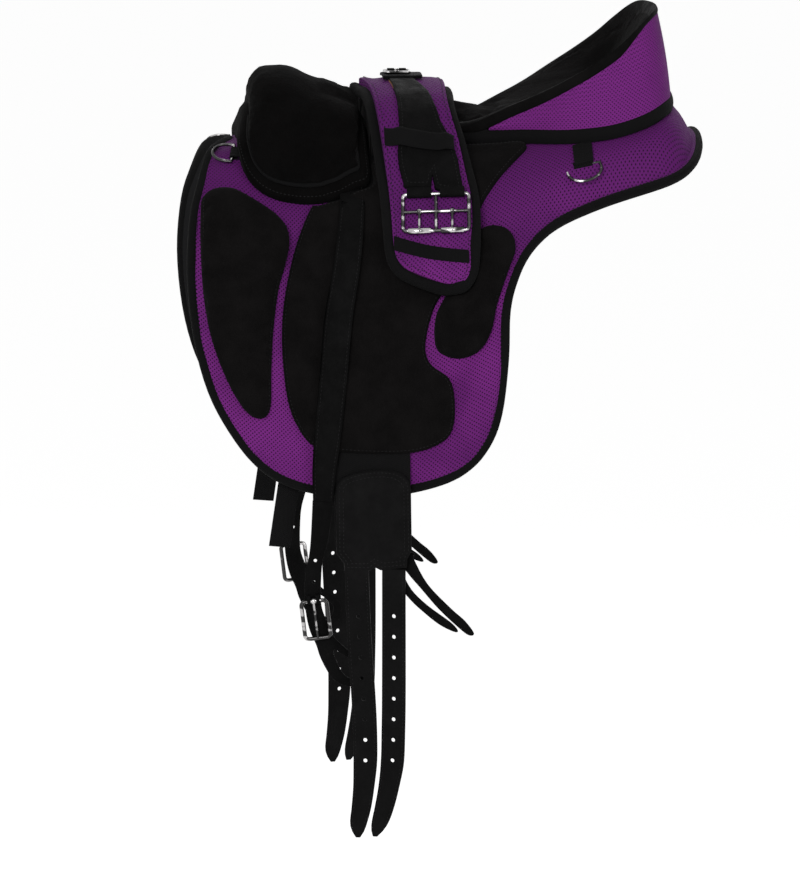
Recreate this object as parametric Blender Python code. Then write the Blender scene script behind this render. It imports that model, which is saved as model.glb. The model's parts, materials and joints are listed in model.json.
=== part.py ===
# Treeless saddle: a flexible panel over the horse's back, a foam seat with a raised cantle,
# a pommel roll, suede patches, girth straps and a strapped pad that carries the stirrup buckles.
# Metres, +Z up, +X to the cantle, the near side at -Y. A place on the saddle is (x, s):
# s runs over the back from the spine, negative on the near side.
import math

import bmesh
import bpy
from mathutils import Matrix, Vector
from mathutils.bvhtree import BVHTree

# Shape of the back that the saddle lies on
PANEL_LENGTH = 0.560
PANEL_FRONT = -0.280
FLAP_DROP = 0.400
BACK_SLOPE = math.radians(82.0)
FRONT_TURN = 0.088
REAR_TURN = 0.400
TURN_START = -0.250
TURN_END = 0.220
SPINE_LOW_X = -0.020
FRONT_RISE = 0.030
FRONT_RISE_RUN = 0.215
REAR_RISE = 0.032
REAR_RISE_RUN = 0.290

# Sides of round bars, wires and holes
BAR_SIDES = 8
BORE_SIDES = 10
SLEEVE_SIDES = 12
SHAFT_SIDES = 6

# Running clearance between neighbours, and between layers that curve together
GAP = 0.0003
FIT = 0.0006
SETTLE_FIT = 0.0008

# Panel
FLAP_THICK = 0.015
EDGE_THICK = 0.010
EDGE_ROUND = 0.030
FRONT_BAR = 0.024
MIDDLE_BAR = 0.044
REAR_BAR = 0.050
BAR_FRONT_X = -0.160
BAR_MIDDLE_X = -0.050
BAR_SEAT_X = 0.040
BAR_REAR_X = 0.160
BAR_WIDTH = 0.080
BAR_FADE = 0.120
LINING_THICK = 0.0012
COVER_THICK = 0.0020
BINDING_WIDTH = 0.011
BINDING_THICK = 0.0110
PANEL_EDGE_SHARES = (
    (0.084, 0.0), (0.066, 0.06), (0.044, 0.12), (0.024, 0.23), (0.007, 0.34), (0.0, 0.50),
    (0.011, 0.66), (0.036, 0.785), (0.074, 0.875), (0.125, 0.949), (0.19, 0.988),
    (0.30, 1.0), (0.42, 0.998), (0.505, 0.99), (0.553, 0.953), (0.581, 0.88), (0.597, 0.74),
    (0.604, 0.61), (0.621, 0.53), (0.65, 0.462), (0.70, 0.413), (0.78, 0.388), (0.88, 0.366),
    (0.94, 0.335), (0.975, 0.275), (0.994, 0.18), (1.0, 0.06), (1.0, 0.0))

# Girth web that crosses the panel under the seat
WEB_FRONT = -0.127
WEB_REAR = -0.048
WEB_THICK = 0.0020
WEB_DROP = 0.452
WEB_MARGIN = 0.012

# Pommel: a lower flange and a taller roll inside its seam
POMMEL_REAR = -0.084
POMMEL_FRONT = -0.2215
POMMEL_SKIRT = 0.0995
POMMEL_FLANGE = 0.013
FLANGE_SPINE_THICK = 0.026
FLANGE_EDGE_THICK = 0.012
ROLL_SPINE_THICK = 0.049
ROLL_EDGE_THICK = 0.007
ROLL_ROUND = 0.022
POMMEL_EDGE_SHARES = (
    (0.0, 0.0), (0.0, 0.22), (-0.02, 0.50), (0.01, 0.71), (0.07, 0.85), (0.16, 0.945),
    (0.28, 0.99), (0.42, 0.995), (0.58, 0.98), (0.75, 0.945), (0.88, 0.88), (1.0, 0.83),
    (1.0, 0.55), (1.0, 0.28), (1.0, 0.0))
ROLL_TOP_SHARES = ((0.0, 0.75), (0.13, 0.88), (0.265, 0.97), (0.425, 1.03), (0.57, 0.90),
                   (0.73, 0.69), (0.885, 0.49), (1.0, 0.40))

# Seat
SEAT_REAR = 0.2500
SEAT_WIDE = 0.0995
SEAT_SKIN = 0.0025
SEAT_BAND = 0.0150
RIM_DROP = 0.0090
RIM_WIDTH = 0.0090
WALL_FIT = 0.0012
RIM_START = 0.000
GUSSET_START = 0.046
CANTLE_HIGH = 0.1790
SEAT_LEAN = 0.018
SEAT_LEAN_START = 0.150
SEAT_SIDE_LEAN = 0.006
DISH_WIDTH = 0.090
DISH_POWER = 1.25
SEAT_FOOT_SHARES = (
    (0.0, 0.55), (0.16, 0.49), (0.29, 0.467), (0.36, 0.516), (0.49, 0.655), (0.63, 0.90),
    (0.755, 1.0), (0.86, 0.972), (0.935, 0.848), (0.980, 0.618), (0.998, 0.222), (1.0, 0.0))
SEAT_RIM_SHARES = (
    (0.0, 0.285), (0.16, 0.280), (0.27, 0.282), (0.33, 0.305), (0.38, 0.345), (0.45, 0.412),
    (0.55, 0.502), (0.63, 0.587), (0.72, 0.688), (0.79, 0.780), (0.85, 0.880), (0.91, 0.975),
    (0.95, 1.0), (1.0, 1.0))
SEAT_FLOOR_SHARES = (
    (0.0, 0.465), (0.10, 0.455), (0.20, 0.430), (0.30, 0.402), (0.40, 0.372), (0.50, 0.372),
    (0.60, 0.400), (0.70, 0.445), (0.80, 0.450), (0.90, 0.450), (1.0, 0.450))
DISH_SHARES = ((0.0, 0.55), (0.28, 0.52), (0.45, 0.80), (0.58, 1.0), (1.0, 1.0))

# Suede pieces on the flap
PATCH_THICK = 0.006
PATCH_EDGE = 0.0025
PATCH_ROUND = 0.007
PATCH_SHARES = (
    (0.236, 0.265), (0.213, 0.335), (0.195, 0.42), (0.181, 0.527), (0.178, 0.632), (0.187, 0.76),
    (0.209, 0.834), (0.243, 0.874), (0.333, 0.883), (0.421, 0.893), (0.469, 0.886),
    (0.491, 0.862), (0.497, 0.80), (0.489, 0.728), (0.456, 0.676), (0.446, 0.634),
    (0.451, 0.583), (0.466, 0.524), (0.487, 0.487), (0.546, 0.365), (0.568, 0.27),
    (0.606, 0.208), (0.600, 0.163), (0.565, 0.145), (0.520, 0.130), (0.450, 0.134),
    (0.400, 0.142), (0.357, 0.152), (0.359, 0.222), (0.325, 0.236), (0.290, 0.250),
    (0.252, 0.258))
KNEE_THICK = 0.018
KNEE_EDGE = 0.004
KNEE_ROUND = 0.024
KNEE_SHARES = (
    (0.033, 0.276), (0.056, 0.254), (0.095, 0.252), (0.145, 0.274), (0.186, 0.306),
    (0.196, 0.345), (0.187, 0.408), (0.173, 0.476), (0.162, 0.583), (0.157, 0.690),
    (0.155, 0.781), (0.143, 0.818), (0.115, 0.820), (0.087, 0.778), (0.061, 0.709),
    (0.041, 0.627), (0.030, 0.528), (0.027, 0.426), (0.028, 0.336))
THIGH_THICK = 0.012
THIGH_SHARES = (
    (0.547, 0.377), (0.583, 0.376), (0.612, 0.408), (0.618, 0.448), (0.604, 0.495),
    (0.580, 0.576), (0.566, 0.647), (0.543, 0.684), (0.507, 0.683), (0.472, 0.650),
    (0.463, 0.608), (0.468, 0.548), (0.487, 0.505), (0.515, 0.448))

# Billet plate, billets and their holes
PLATE_TOP = 0.3705
PLATE_FRONT = -0.1260
PLATE_WIDTH = 0.0780
PLATE_HEIGHT = 0.1030
PLATE_THICK = 0.0050
PLATE_SHARES = (
    (0.0, 0.24), (0.01, 0.16), (0.08, 0.09), (0.20, 0.045), (0.36, 0.012), (0.50, 0.0),
    (0.64, 0.005), (0.80, 0.03), (0.92, 0.09), (0.985, 0.16), (1.0, 0.24), (1.0, 0.86),
    (0.94, 0.94), (0.935, 1.0), (0.590, 1.0), (0.51, 0.965), (0.435, 1.0), (0.105, 1.0),
    (0.10, 0.955), (0.0, 0.86))
BILLET_WIDTH = 0.0254
BILLET_THICK = 0.0032
BILLET_LENGTH = 0.288
BILLET_BOW = 0.009
BILLET_HOLE = 0.0022
BILLET_HOLE_COUNT = 8
BILLET_HOLE_PITCH = 0.0222
BILLET_FIRST_HOLE = 0.049
BILLET_HOLE_SIDES = 6
BILLETS = (
    ("front", 0.270, ((0.0, 0.0), (0.14, 0.14), (0.30, 0.40), (0.45, 0.73), (0.57, 0.93),
                      (0.70, 1.0), (0.81, 0.80), (0.89, 0.50), (0.95, 0.16), (1.0, 0.12))),
    ("rear", 0.763, ((0.0, 0.0), (0.45, 0.0), (0.60, -0.06), (0.72, -0.19), (0.81, -0.62),
                     (0.89, -1.18), (0.95, -1.74), (1.0, -2.3))))
BILLET_TIP_SHARES = ((0.0, 1.0), (0.70, 1.0), (0.81, 0.89), (0.89, 0.82), (0.95, 0.70),
                     (0.985, 0.42), (1.0, 0.18))

# Front strap and its hanging tail
STRAP_THICK = 0.0028
STRAP_WIDTH = 0.0300
STRAP_START_X = -0.1030
STRAP_REACH = 0.0360
STRAP_TOP = 0.1010
STRAP_LOW = 0.4030
STRAP_SHARES = (
    (0.0, 0.0, 0.88), (0.20, 0.22, 0.96), (0.38, 0.50, 1.0), (0.61, 0.70, 0.97),
    (0.80, 0.88, 0.92), (0.90, 0.97, 0.84), (1.0, 1.0, 0.73))
STRAP_BOTTOM_LIFT = 0.0150
TAIL_LENGTH = 0.200
TAIL_OUTLINE_SHARES = (
    (-0.057, 0.0), (-0.067, -0.20), (-0.078, -0.30), (-0.096, -0.38), (-0.100, -0.52),
    (-0.090, -0.62), (-0.070, -0.70), (-0.039, -0.77), (-0.020, -0.83), (0.014, -0.90),
    (0.047, -0.948), (0.092, -0.98), (0.137, -0.992), (0.180, -0.985), (0.213, -0.95),
    (0.220, -0.89), (0.185, -0.835), (0.129, -0.796), (0.054, -0.724), (0.030, -0.67),
    (-0.006, -0.58), (-0.014, -0.50), (-0.010, -0.37), (0.0, -0.30), (0.026, -0.20),
    (0.056, 0.0))
TAIL_OPENING_SHARES = (
    (0.050, -0.797), (0.092, -0.905), (0.137, -0.948), (0.170, -0.935), (0.176, -0.89),
    (0.150, -0.855), (0.110, -0.825))
TAIL_HOLE = 0.0018
TAIL_HOLES_SHARES = ((-0.043, -0.315), (-0.052, -0.43))
STRAP_BUCKLE_A = -0.0080
STRAP_BUCKLE_B = -0.1260
STRAP_BUCKLE_TURN = math.radians(7.0)
STRAP_BUCKLE_WIDTH = 0.0270
STRAP_BUCKLE_HEIGHT = 0.0400
STRAP_BUCKLE_WIRE = 0.0016

# Webbing tab and tie strap that hang from behind the flap and the plate
TAB_X = -0.1730
TAB_S = 0.3840
TAB_WIDTH = 0.0230
TAB_LENGTH = 0.0760
TAB_LEAN = 0.0110
TAB_THICK = 0.0020
TIE_X = -0.0870
TIE_S = 0.4560
TIE_THICK = 0.0026
TIE_REACH = 0.1080
TIE_SHARES = (
    (0.0, 0.0), (0.39, 0.0), (0.40, -0.06), (0.54, -0.31), (0.77, -0.54), (0.91, -0.66),
    (1.0, -0.78), (0.95, -0.80), (0.85, -0.73), (0.65, -0.55), (0.48, -0.36), (0.38, -0.25),
    (0.31, -0.17), (0.29, -0.20), (0.38, -0.37), (0.54, -0.52), (0.77, -0.68), (0.84, -0.76),
    (0.80, -0.77), (0.65, -0.70), (0.48, -0.57), (0.37, -0.47), (0.26, -0.34), (0.15, -0.18),
    (0.04, -0.04))

# Wire rings and their webbing tabs
RING_WIRE = 0.0016
RING_WIDTH = 0.0360
RING_HEIGHT = 0.0215
FRONT_RING_X = -0.2275
FRONT_RING_S = 0.0560
FRONT_RING_SHARE = 0.80
FRONT_RING_TURN = math.radians(-90.0)
REAR_RING_X = 0.1420
REAR_RING_S = 0.1180
RING_TAB_WIDTH = 0.0200
RING_TAB_THICK = 0.0022
RING_TAB_WALL = 0.0010
RING_TAB_REACH = 0.0130
RING_SHARES = (
    (-0.42, 0.0), (0.42, 0.0), (0.5, -0.10), (0.5, -0.36), (0.43, -0.66), (0.26, -0.90),
    (0.0, -1.0), (-0.26, -0.90), (-0.43, -0.66), (-0.5, -0.36), (-0.5, -0.10))

# Stirrup pad over the seat
PAD_THICK = 0.0200
PAD_LEAST_THICK = 0.0060
PAD_EDGE_DROP = 0.0070
PAD_ROUND = 0.018
PAD_BINDING = 0.010
PAD_FRONT = -0.0985
PAD_WIDTH = 0.1285
PAD_DROP = 0.2105
PAD_RISE = 0.0230
SEAT_HUMP = 0.0330
HUMP_START = 0.035
HUMP_RUN = 0.070
PAD_EDGE_SHARES = (
    (0.0, 0.0), (0.035, 0.035), (0.085, 0.10), (0.113, 0.209), (0.144, 0.318), (0.183, 0.494),
    (0.198, 0.613), (0.212, 0.717), (0.249, 0.789), (0.339, 0.85), (0.486, 0.903),
    (0.611, 0.95), (0.704, 0.979), (0.837, 1.0), (0.914, 0.979), (0.969, 0.917),
    (0.992, 0.784), (1.0, 0.608), (0.961, 0.468), (0.914, 0.342), (0.868, 0.252),
    (0.848, 0.176), (0.858, 0.08), (0.86, 0.0))

# Leather strap over the pad, its keepers and the double buckles
HANGER_THICK = 0.0040
HANGER_FRONT = -0.0600
HANGER_WIDTH = 0.0730
HANGER_DROP = 0.1220
HANGER_SHARES = (
    (0.0, 0.0), (0.06, 0.16), (0.10, 0.32), (0.10, 0.48), (0.06, 0.63), (0.08, 0.72),
    (0.13, 0.81), (0.135, 0.845), (0.53, 0.885), (0.55, 0.80), (0.585, 0.905), (1.0, 1.0),
    (0.965, 0.88), (0.93, 0.74), (0.86, 0.63), (0.71, 0.50), (0.58, 0.28), (0.43, 0.12),
    (0.36, 0.0))
KEEPER_THICK = 0.0015
KEEPER_HEIGHT = 0.0125
KEEPERS = (("upper", -0.0690, 0.0640, 0.0045, 0.0800), ("lower", -0.0620, 0.1470, 0.0160, 0.1790))
KEEPER_CELLS = 9
BUCKLE_X = -0.0170
BUCKLE_S = 0.1300
BUCKLE_TURN = math.radians(-15.0)
BUCKLE_WIDTH = 0.0700
BUCKLE_HEIGHT = 0.0400
BUCKLE_WIRE = 0.0020
BUCKLE_BAR = 0.0017
BUCKLE_CORNER = 0.0040
BUCKLE_BAR_RISE = 0.0010
ROLLER_WALL = 0.0011
TONGUE_WIDTH = 0.0042
TONGUE_WALL = 0.0014
TONGUE_WIRE = 0.0013
FOLD_WIDTH = 0.0260
FOLD_WALL = 0.0014
FOLD_REACH = 0.0090
TOP_BUCKLE_X = -0.0470
TOP_BUCKLE_WIDTH = 0.0260
TOP_BUCKLE_HEIGHT = 0.0240
TOP_BUCKLE_WIRE = 0.0015
TOP_BUCKLE_BAR = 0.0013

# Cells that the draped pieces share
X_CELL_COUNT = 12
S_LINE_SHARES = (0.06, 0.135, 0.22, 0.33, 0.47, 0.64, 0.82)
PAD_X_CELL_COUNT = 8
PAD_S_LINE_SHARES = (0.08, 0.16, 0.24, 0.32, 0.41, 0.50, 0.62, 0.74, 0.87)
SNAP = 0.0030
INSET_SHARE = 0.98
CURVE_STEPS = 2
BACK_STEPS = 10
LOOK_FROM = 0.150
SAMPLE_PITCH = 0.004
SEAM = 0.001
SETTLE_ROUNDS = 12
WELD = 0.000002
SMOOTH_ANGLE = math.radians(38.0)

NEAR = -1
OFF = 1
SIDES = ((NEAR, "near"), (OFF, "off"))


def clear_scene():
    for item in list(bpy.data.objects):
        bpy.data.objects.remove(item, do_unlink=True)


def new_collection(name):
    collection = bpy.data.collections.new(name)
    bpy.context.scene.collection.children.link(collection)
    return collection


def surface(name, color, roughness, metallic=0.0):
    material = bpy.data.materials.new(name)
    material.use_nodes = True
    shader = material.node_tree.nodes["Principled BSDF"]
    shader.inputs["Base Color"].default_value = (*color, 1.0)
    shader.inputs["Roughness"].default_value = roughness
    shader.inputs["Metallic"].default_value = metallic
    material.diffuse_color = (*color, 1.0)
    return material


def ease(value):
    share = min(max(value, 0.0), 1.0)
    return share * share * (3.0 - 2.0 * share)


def read_curve(stations, place):
    """Height at a place on the smooth curve through (place, height) stations."""
    if place <= stations[0][0]:
        return stations[0][1]
    if place >= stations[-1][0]:
        return stations[-1][1]
    index = next(i for i in range(1, len(stations)) if place <= stations[i][0])
    left, right = stations[index - 1], stations[index]
    before = stations[max(index - 2, 0)]
    after = stations[min(index + 1, len(stations) - 1)]
    span = right[0] - left[0]
    share = (place - left[0]) / span
    slope_left = (right[1] - before[1]) / (right[0] - before[0]) * span
    slope_right = (after[1] - left[1]) / (after[0] - left[0]) * span
    square = share * share
    cube = square * share
    return (left[1] * (2 * cube - 3 * square + 1) + slope_left * (cube - 2 * square + share)
            + right[1] * (3 * square - 2 * cube) + slope_right * (cube - square))


# The back and the thickness of the panel on it

def back_turn(x):
    share = ease((x - TURN_START) / (TURN_END - TURN_START)) ** 2
    return FRONT_TURN * (REAR_TURN / FRONT_TURN) ** share


def spine_height(x):
    if x < SPINE_LOW_X:
        return FRONT_RISE * ((SPINE_LOW_X - x) / FRONT_RISE_RUN) ** 2
    return REAR_RISE * ((x - SPINE_LOW_X) / REAR_RISE_RUN) ** 2


def back_angle(x, s):
    return BACK_SLOPE * (1.0 - math.exp(-abs(s) / back_turn(x)))


def on_back(x, s, lift):
    """Point over the back at a distance s from the spine, lifted square to the back."""
    step = abs(s) / BACK_STEPS
    out = 0.0
    drop = 0.0
    for index in range(BACK_STEPS):
        angle = back_angle(x, (index + 0.5) * step)
        out += math.cos(angle) * step
        drop += math.sin(angle) * step
    angle = back_angle(x, s)
    out += lift * math.sin(angle)
    side = -1.0 if s < 0 else 1.0
    return Vector((x, side * out, spine_height(x) - drop + lift * math.cos(angle)))


def from_shares(shares, front, length, drop):
    return [(front + x * length, s * drop) for x, s in shares]


def smooth_line(points, closed, steps=CURVE_STEPS):
    """Points on a smooth curve through the given ones."""
    count = len(points)
    spans = count if closed else count - 1
    line = []
    for index in range(spans):
        ends = [points[(index + k) % count] if closed else points[min(max(index + k, 0), count - 1)]
                for k in (-1, 0, 1, 2)]
        for step in range(steps):
            t = step / steps
            line.append(tuple(
                0.5 * (2 * b + (c - a) * t + (2 * a - 5 * b + 4 * c - d) * t * t
                       + (3 * b - a - 3 * c + d) * t ** 3)
                for a, b, c, d in zip(*ends)))
    if not closed:
        line.append(tuple(points[-1]))
    return line


def both_halves(half):
    """Closed outline from a half that runs from spine to spine."""
    return [(x, -s) for x, s in half] + [(x, s) for x, s in reversed(half[1:-1])]


def inset_line(outline, depth):
    """Closed outline moved inward by a depth, without the points that its bends overrun."""
    count = len(outline)
    area = sum(outline[i - 1][0] * outline[i][1] - outline[i][0] * outline[i - 1][1]
               for i in range(count))
    turn = 1.0 if area > 0 else -1.0
    moved = []
    for index, (x, s) in enumerate(outline):
        here = Vector((x, s))
        first = (here - Vector(outline[index - 1])).normalized()
        second = (Vector(outline[(index + 1) % count]) - here).normalized()
        normal = Vector((-first.y - second.y, first.x + second.x)).normalized() * turn
        reach = depth / max(math.sqrt(0.5 * (1.0 + first.dot(second))), 0.5)
        place = here + normal * reach
        if edge_distance(place.x, place.y, outline) > depth * INSET_SHARE:
            moved.append((place.x, place.y))
    return moved


def edge_distance(x, s, outline, closed=True):
    point = Vector((x, s))
    nearest = None
    for index in range(0 if closed else 1, len(outline)):
        start = Vector(outline[index - 1])
        run = Vector(outline[index]) - start
        share = min(max((point - start).dot(run) / max(run.length_squared, WELD * WELD), 0.0), 1.0)
        distance = (start + run * share - point).length
        nearest = distance if nearest is None else min(nearest, distance)
    return nearest


PANEL_OUTLINE = both_halves(from_shares(PANEL_EDGE_SHARES, PANEL_FRONT, PANEL_LENGTH, FLAP_DROP))


def bar_thick(x):
    middle = ease((x - BAR_FRONT_X) / (BAR_MIDDLE_X - BAR_FRONT_X))
    rear = ease((x - BAR_SEAT_X) / (BAR_REAR_X - BAR_SEAT_X))
    return FRONT_BAR + (MIDDLE_BAR - FRONT_BAR) * middle + (REAR_BAR - MIDDLE_BAR) * rear


def full_thick(x, s):
    """Thickness of the padded panel away from its edge."""
    fade = 1.0 - ease((abs(s) - BAR_WIDTH) / BAR_FADE)
    return FLAP_THICK + (bar_thick(x) - FLAP_THICK) * fade


def panel_thick(x, s):
    share = ease(edge_distance(x, s, PANEL_OUTLINE) / EDGE_ROUND - BINDING_WIDTH / EDGE_ROUND)
    return EDGE_THICK + (full_thick(x, s) - EDGE_THICK) * share ** 0.5


def outward(x, s):
    """Direction square to the back at a place."""
    angle = back_angle(x, s)
    return Vector((0.0, (-1.0 if s < 0 else 1.0) * math.sin(angle), math.cos(angle)))


# What lies on what: each laid piece keeps its upper face for the next

class Layer:
    """Upper face of a laid piece, with points all over it."""

    def __init__(self, places, corners, triangles):
        self.tree = BVHTree.FromPolygons(corners, triangles)
        self.samples = []
        for triangle in triangles:
            ends = [corners[index] for index in triangle]
            longest = max((ends[k] - ends[k - 1]).length for k in range(3))
            count = max(int(math.ceil(longest / SAMPLE_PITCH)), 1)
            for first in range(count + 1):
                for second in range(count + 1 - first):
                    weights = (first / count, second / count, (count - first - second) / count)
                    x = sum(w * places[i][0] for w, i in zip(weights, triangle))
                    s = sum(w * places[i][1] for w, i in zip(weights, triangle))
                    point = sum((w * end for w, end in zip(weights, ends)), Vector())
                    self.samples.append((x, s, point))


def highest_lift(layers, x, s, floor=BINDING_THICK):
    """Height over the back of the highest of the layers at a place, or else beside it."""
    beside = ((x - SEAM, s), (x + SEAM, s), (x, s - SEAM), (x, s + SEAM))
    for spots in (((x, s),), beside):
        lifts = []
        for spot in spots:
            up = outward(*spot)
            foot = on_back(*spot, 0.0)
            for layer in layers:
                hit = layer.tree.ray_cast(foot + up * LOOK_FROM, -up, LOOK_FROM)[0]
                if hit is not None:
                    lifts.append((hit - foot).dot(up))
        if lifts:
            break
    return max(lifts + [floor])


def settle(places, triangles, lifts, layers):
    """Raise a lower face until it clears the layers everywhere, not only at its corners."""
    lifts = list(lifts)
    low_x, high_x = min(x for x, _ in places), max(x for x, _ in places)
    low_s, high_s = min(s for _, s in places), max(s for _, s in places)
    samples = [(point, outward(x, s)) for layer in layers for x, s, point in layer.samples
               if low_x < x < high_x and low_s < s < high_s]
    for _ in range(SETTLE_ROUNDS):
        corners = [on_back(x, s, lift) for (x, s), lift in zip(places, lifts)]
        tree = BVHTree.FromPolygons(corners, triangles)
        rises = {}
        for point, up in samples:
            hit, _, face, _ = tree.ray_cast(point + up * LOOK_FROM, -up, 2 * LOOK_FROM)
            if hit is None:
                continue
            lack = SETTLE_FIT - (hit - point).dot(up)
            if lack > GAP / 3:
                for index in triangles[face]:
                    rises[index] = max(rises.get(index, 0.0), lack)
        for index, rise in rises.items():
            lifts[index] += rise
        if not rises:
            break
    return lifts


# Sheets of cells in the (x, s) plane, laid over the back

def even_lines(start, end, pitch):
    count = max(int(round((end - start) / pitch)), 1)
    return [start + (end - start) * index / count for index in range(1, count)]


X_LINES = even_lines(PANEL_FRONT, PANEL_FRONT + PANEL_LENGTH, PANEL_LENGTH / X_CELL_COUNT)
X_LINES += [WEB_FRONT - WEB_MARGIN, WEB_FRONT, WEB_REAR, WEB_REAR + WEB_MARGIN]
S_LINES = [0.0]
S_LINES += [sign * share * FLAP_DROP for share in S_LINE_SHARES for sign in (-1.0, 1.0)]


def cut_lines(bm, x_lines, s_lines):
    for x in x_lines:
        bmesh.ops.bisect_plane(bm, geom=bm.verts[:] + bm.edges[:] + bm.faces[:], dist=SNAP,
                               plane_co=(x, 0.0, 0.0), plane_no=(1.0, 0.0, 0.0))
    for s in s_lines:
        bmesh.ops.bisect_plane(bm, geom=bm.verts[:] + bm.edges[:] + bm.faces[:], dist=SNAP,
                               plane_co=(0.0, s, 0.0), plane_no=(0.0, 1.0, 0.0))


def split_quads(bm):
    """Split four-sided cells along the same diagonal everywhere, then the rest."""
    for face in list(bm.faces):
        corners = list(face.verts)
        if len(corners) != 4 or any(loop.is_convex is False for loop in face.loops):
            continue
        sums = [corner.co.x + abs(corner.co.y) for corner in corners]
        low = sums.index(min(sums))
        bmesh.utils.face_split(face, corners[low], corners[(low + 2) % 4])
    bmesh.ops.triangulate(bm, faces=[face for face in bm.faces if len(face.verts) > 3])


def sheet_of_cells(outline, rings=(), x_lines=None, s_lines=None, ring_only=False):
    """Flat sheet of an outline, with inner lines at the depths of the rings."""
    bm = bmesh.new()
    loop = closed_loop(bm, outline)
    for depth in rings:
        inner = closed_loop(bm, inset_line(outline, depth))
        bmesh.ops.triangle_fill(bm, use_beauty=True, edges=loop[1] + inner[1])
        loop = inner
    if not ring_only:
        bm.faces.new(loop[0])
    cut_lines(bm, X_LINES if x_lines is None else x_lines, S_LINES if s_lines is None else s_lines)
    split_quads(bm)
    return bm


def closed_loop(bm, outline):
    corners = [bm.verts.new((x, s, 0.0)) for x, s in outline]
    edges = [bm.edges.new((corners[index - 1], corners[index])) for index in range(len(corners))]
    return corners, edges


def lay_solid(bm, low, high, layers=()):
    """Closed solid on a sheet, and its upper face. Its low side is given at each place and
    settles on the layers; its high side is given there from the settled low side. Both are
    lifts over the back or points."""
    bm.verts.index_update()
    places = [(vert.co.x, vert.co.y) for vert in bm.verts]
    triangles = [[vert.index for vert in face.verts] for face in bm.faces]
    rims = [[vert.index for vert in edge.verts] for edge in bm.edges if len(edge.link_faces) == 1]
    bm.free()
    lows = [low(x, s) for x, s in places]
    if layers:
        lows = settle(places, triangles, lows, layers)
    highs = [high(x, s, start) for (x, s), start in zip(places, lows)]
    solid = bmesh.new()
    bottom = [solid.verts.new(as_point(place, value)) for place, value in zip(places, lows)]
    top = [solid.verts.new(as_point(place, value)) for place, value in zip(places, highs)]
    layer = Layer(places, [vert.co.copy() for vert in top], triangles)
    for a, b, c in triangles:
        solid.faces.new((top[a], top[b], top[c]))
        solid.faces.new((bottom[c], bottom[b], bottom[a]))
    for a, b in rims:
        solid.faces.new((bottom[a], bottom[b], top[b], top[a]))
    bmesh.ops.recalc_face_normals(solid, faces=solid.faces[:])
    return solid, layer


def as_point(place, value):
    return value if isinstance(value, Vector) else on_back(*place, value)


def add_part(bm, name, material, collection, pivot=None, frame=None):
    """Object with its origin on the pivot, from a mesh in world or frame coordinates."""
    if frame is not None:
        bmesh.ops.transform(bm, matrix=frame, verts=bm.verts[:])
    origin = Vector((0.0, 0.0, 0.0)) if pivot is None else pivot
    bmesh.ops.translate(bm, vec=-origin, verts=bm.verts[:])
    bmesh.ops.recalc_face_normals(bm, faces=bm.faces[:])
    mesh = bpy.data.meshes.new(name)
    bm.to_mesh(mesh)
    bm.free()
    mesh.materials.append(material)
    mesh.shade_smooth()
    mesh.set_sharp_from_angle(angle=SMOOTH_ANGLE)
    item = bpy.data.objects.new(name, mesh)
    item.location = origin
    collection.objects.link(item)
    return item


def crown(distance, edge, thick, round_width):
    """Height of a padded piece that is drawn in along its edge."""
    share = min(max(distance / round_width, 0.0), 1.0)
    return edge + (thick - edge) * math.sqrt(1.0 - (1.0 - share) ** 2)


# Local frames: along the saddle, up, and outward

def resting_frame(x, s, half_x, half_s, rise, turn, layers):
    """Frame that lies on the layers around a place, turned about its outward axis."""
    side = NEAR if s < 0 else OFF

    def point(a, b):
        spot = (x + a * half_x, s + b * side * half_s)
        return on_back(*spot, highest_lift(layers, *spot))

    along = (point(1, 0) - point(-1, 0)).normalized()
    up = point(0, -1) - point(0, 1)
    up = (up - along * up.dot(along)).normalized()
    out = along.cross(up)
    out = out if out.y * side > 0 else -out
    centre = point(0, 0)
    highest = max((point(a, b) - centre).dot(out) for a in (-1, -0.5, 0, 0.5, 1)
                  for b in (-1, -0.5, 0, 0.5, 1))
    turned_along = along * math.cos(turn) + up * math.sin(turn)
    turned_up = up * math.cos(turn) - along * math.sin(turn)
    return frame_matrix(turned_along, turned_up, out, centre + out * (highest + rise))


def hanging_frame(x, s, lift):
    """Upright frame at a place on the flap, for what hangs from it."""
    side = NEAR if s < 0 else OFF
    here = on_back(x, s, lift)
    along = on_back(x + SNAP, s, lift) - here
    along.z = 0.0
    along.normalize()
    out = Vector((-along.y, along.x, 0.0)) * side
    return frame_matrix(along, Vector((0.0, 0.0, 1.0)), out, here)


def frame_matrix(along, up, out, origin):
    return Matrix((
        (along.x, up.x, out.x, origin.x),
        (along.y, up.y, out.y, origin.y),
        (along.z, up.z, out.z, origin.z),
        (0.0, 0.0, 0.0, 1.0)))


# Solids in a local frame

def mesh_of(item):
    graph = bpy.context.evaluated_depsgraph_get()
    mesh = bpy.data.meshes.new_from_object(item.evaluated_get(graph))
    bm = bmesh.new()
    bm.from_mesh(mesh)
    bmesh.ops.transform(bm, matrix=item.matrix_world, verts=bm.verts[:])
    bmesh.ops.remove_doubles(bm, verts=bm.verts[:], dist=WELD)
    bpy.data.meshes.remove(mesh)
    bpy.data.objects.remove(item, do_unlink=True)
    return bm


def wire(points, radius, closed, fineness=1):
    """Round wire along points, as a closed solid."""
    curve = bpy.data.curves.new("wire", "CURVE")
    curve.dimensions = "3D"
    curve.bevel_depth = radius
    curve.bevel_resolution = fineness
    curve.use_fill_caps = True
    spline = curve.splines.new("POLY")
    spline.points.add(len(points) - 1)
    for place, point in zip(spline.points, points):
        place.co = (*point, 1.0)
    spline.use_cyclic_u = closed
    item = bpy.data.objects.new("wire", curve)
    bpy.context.scene.collection.objects.link(item)
    return mesh_of(item)


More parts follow.
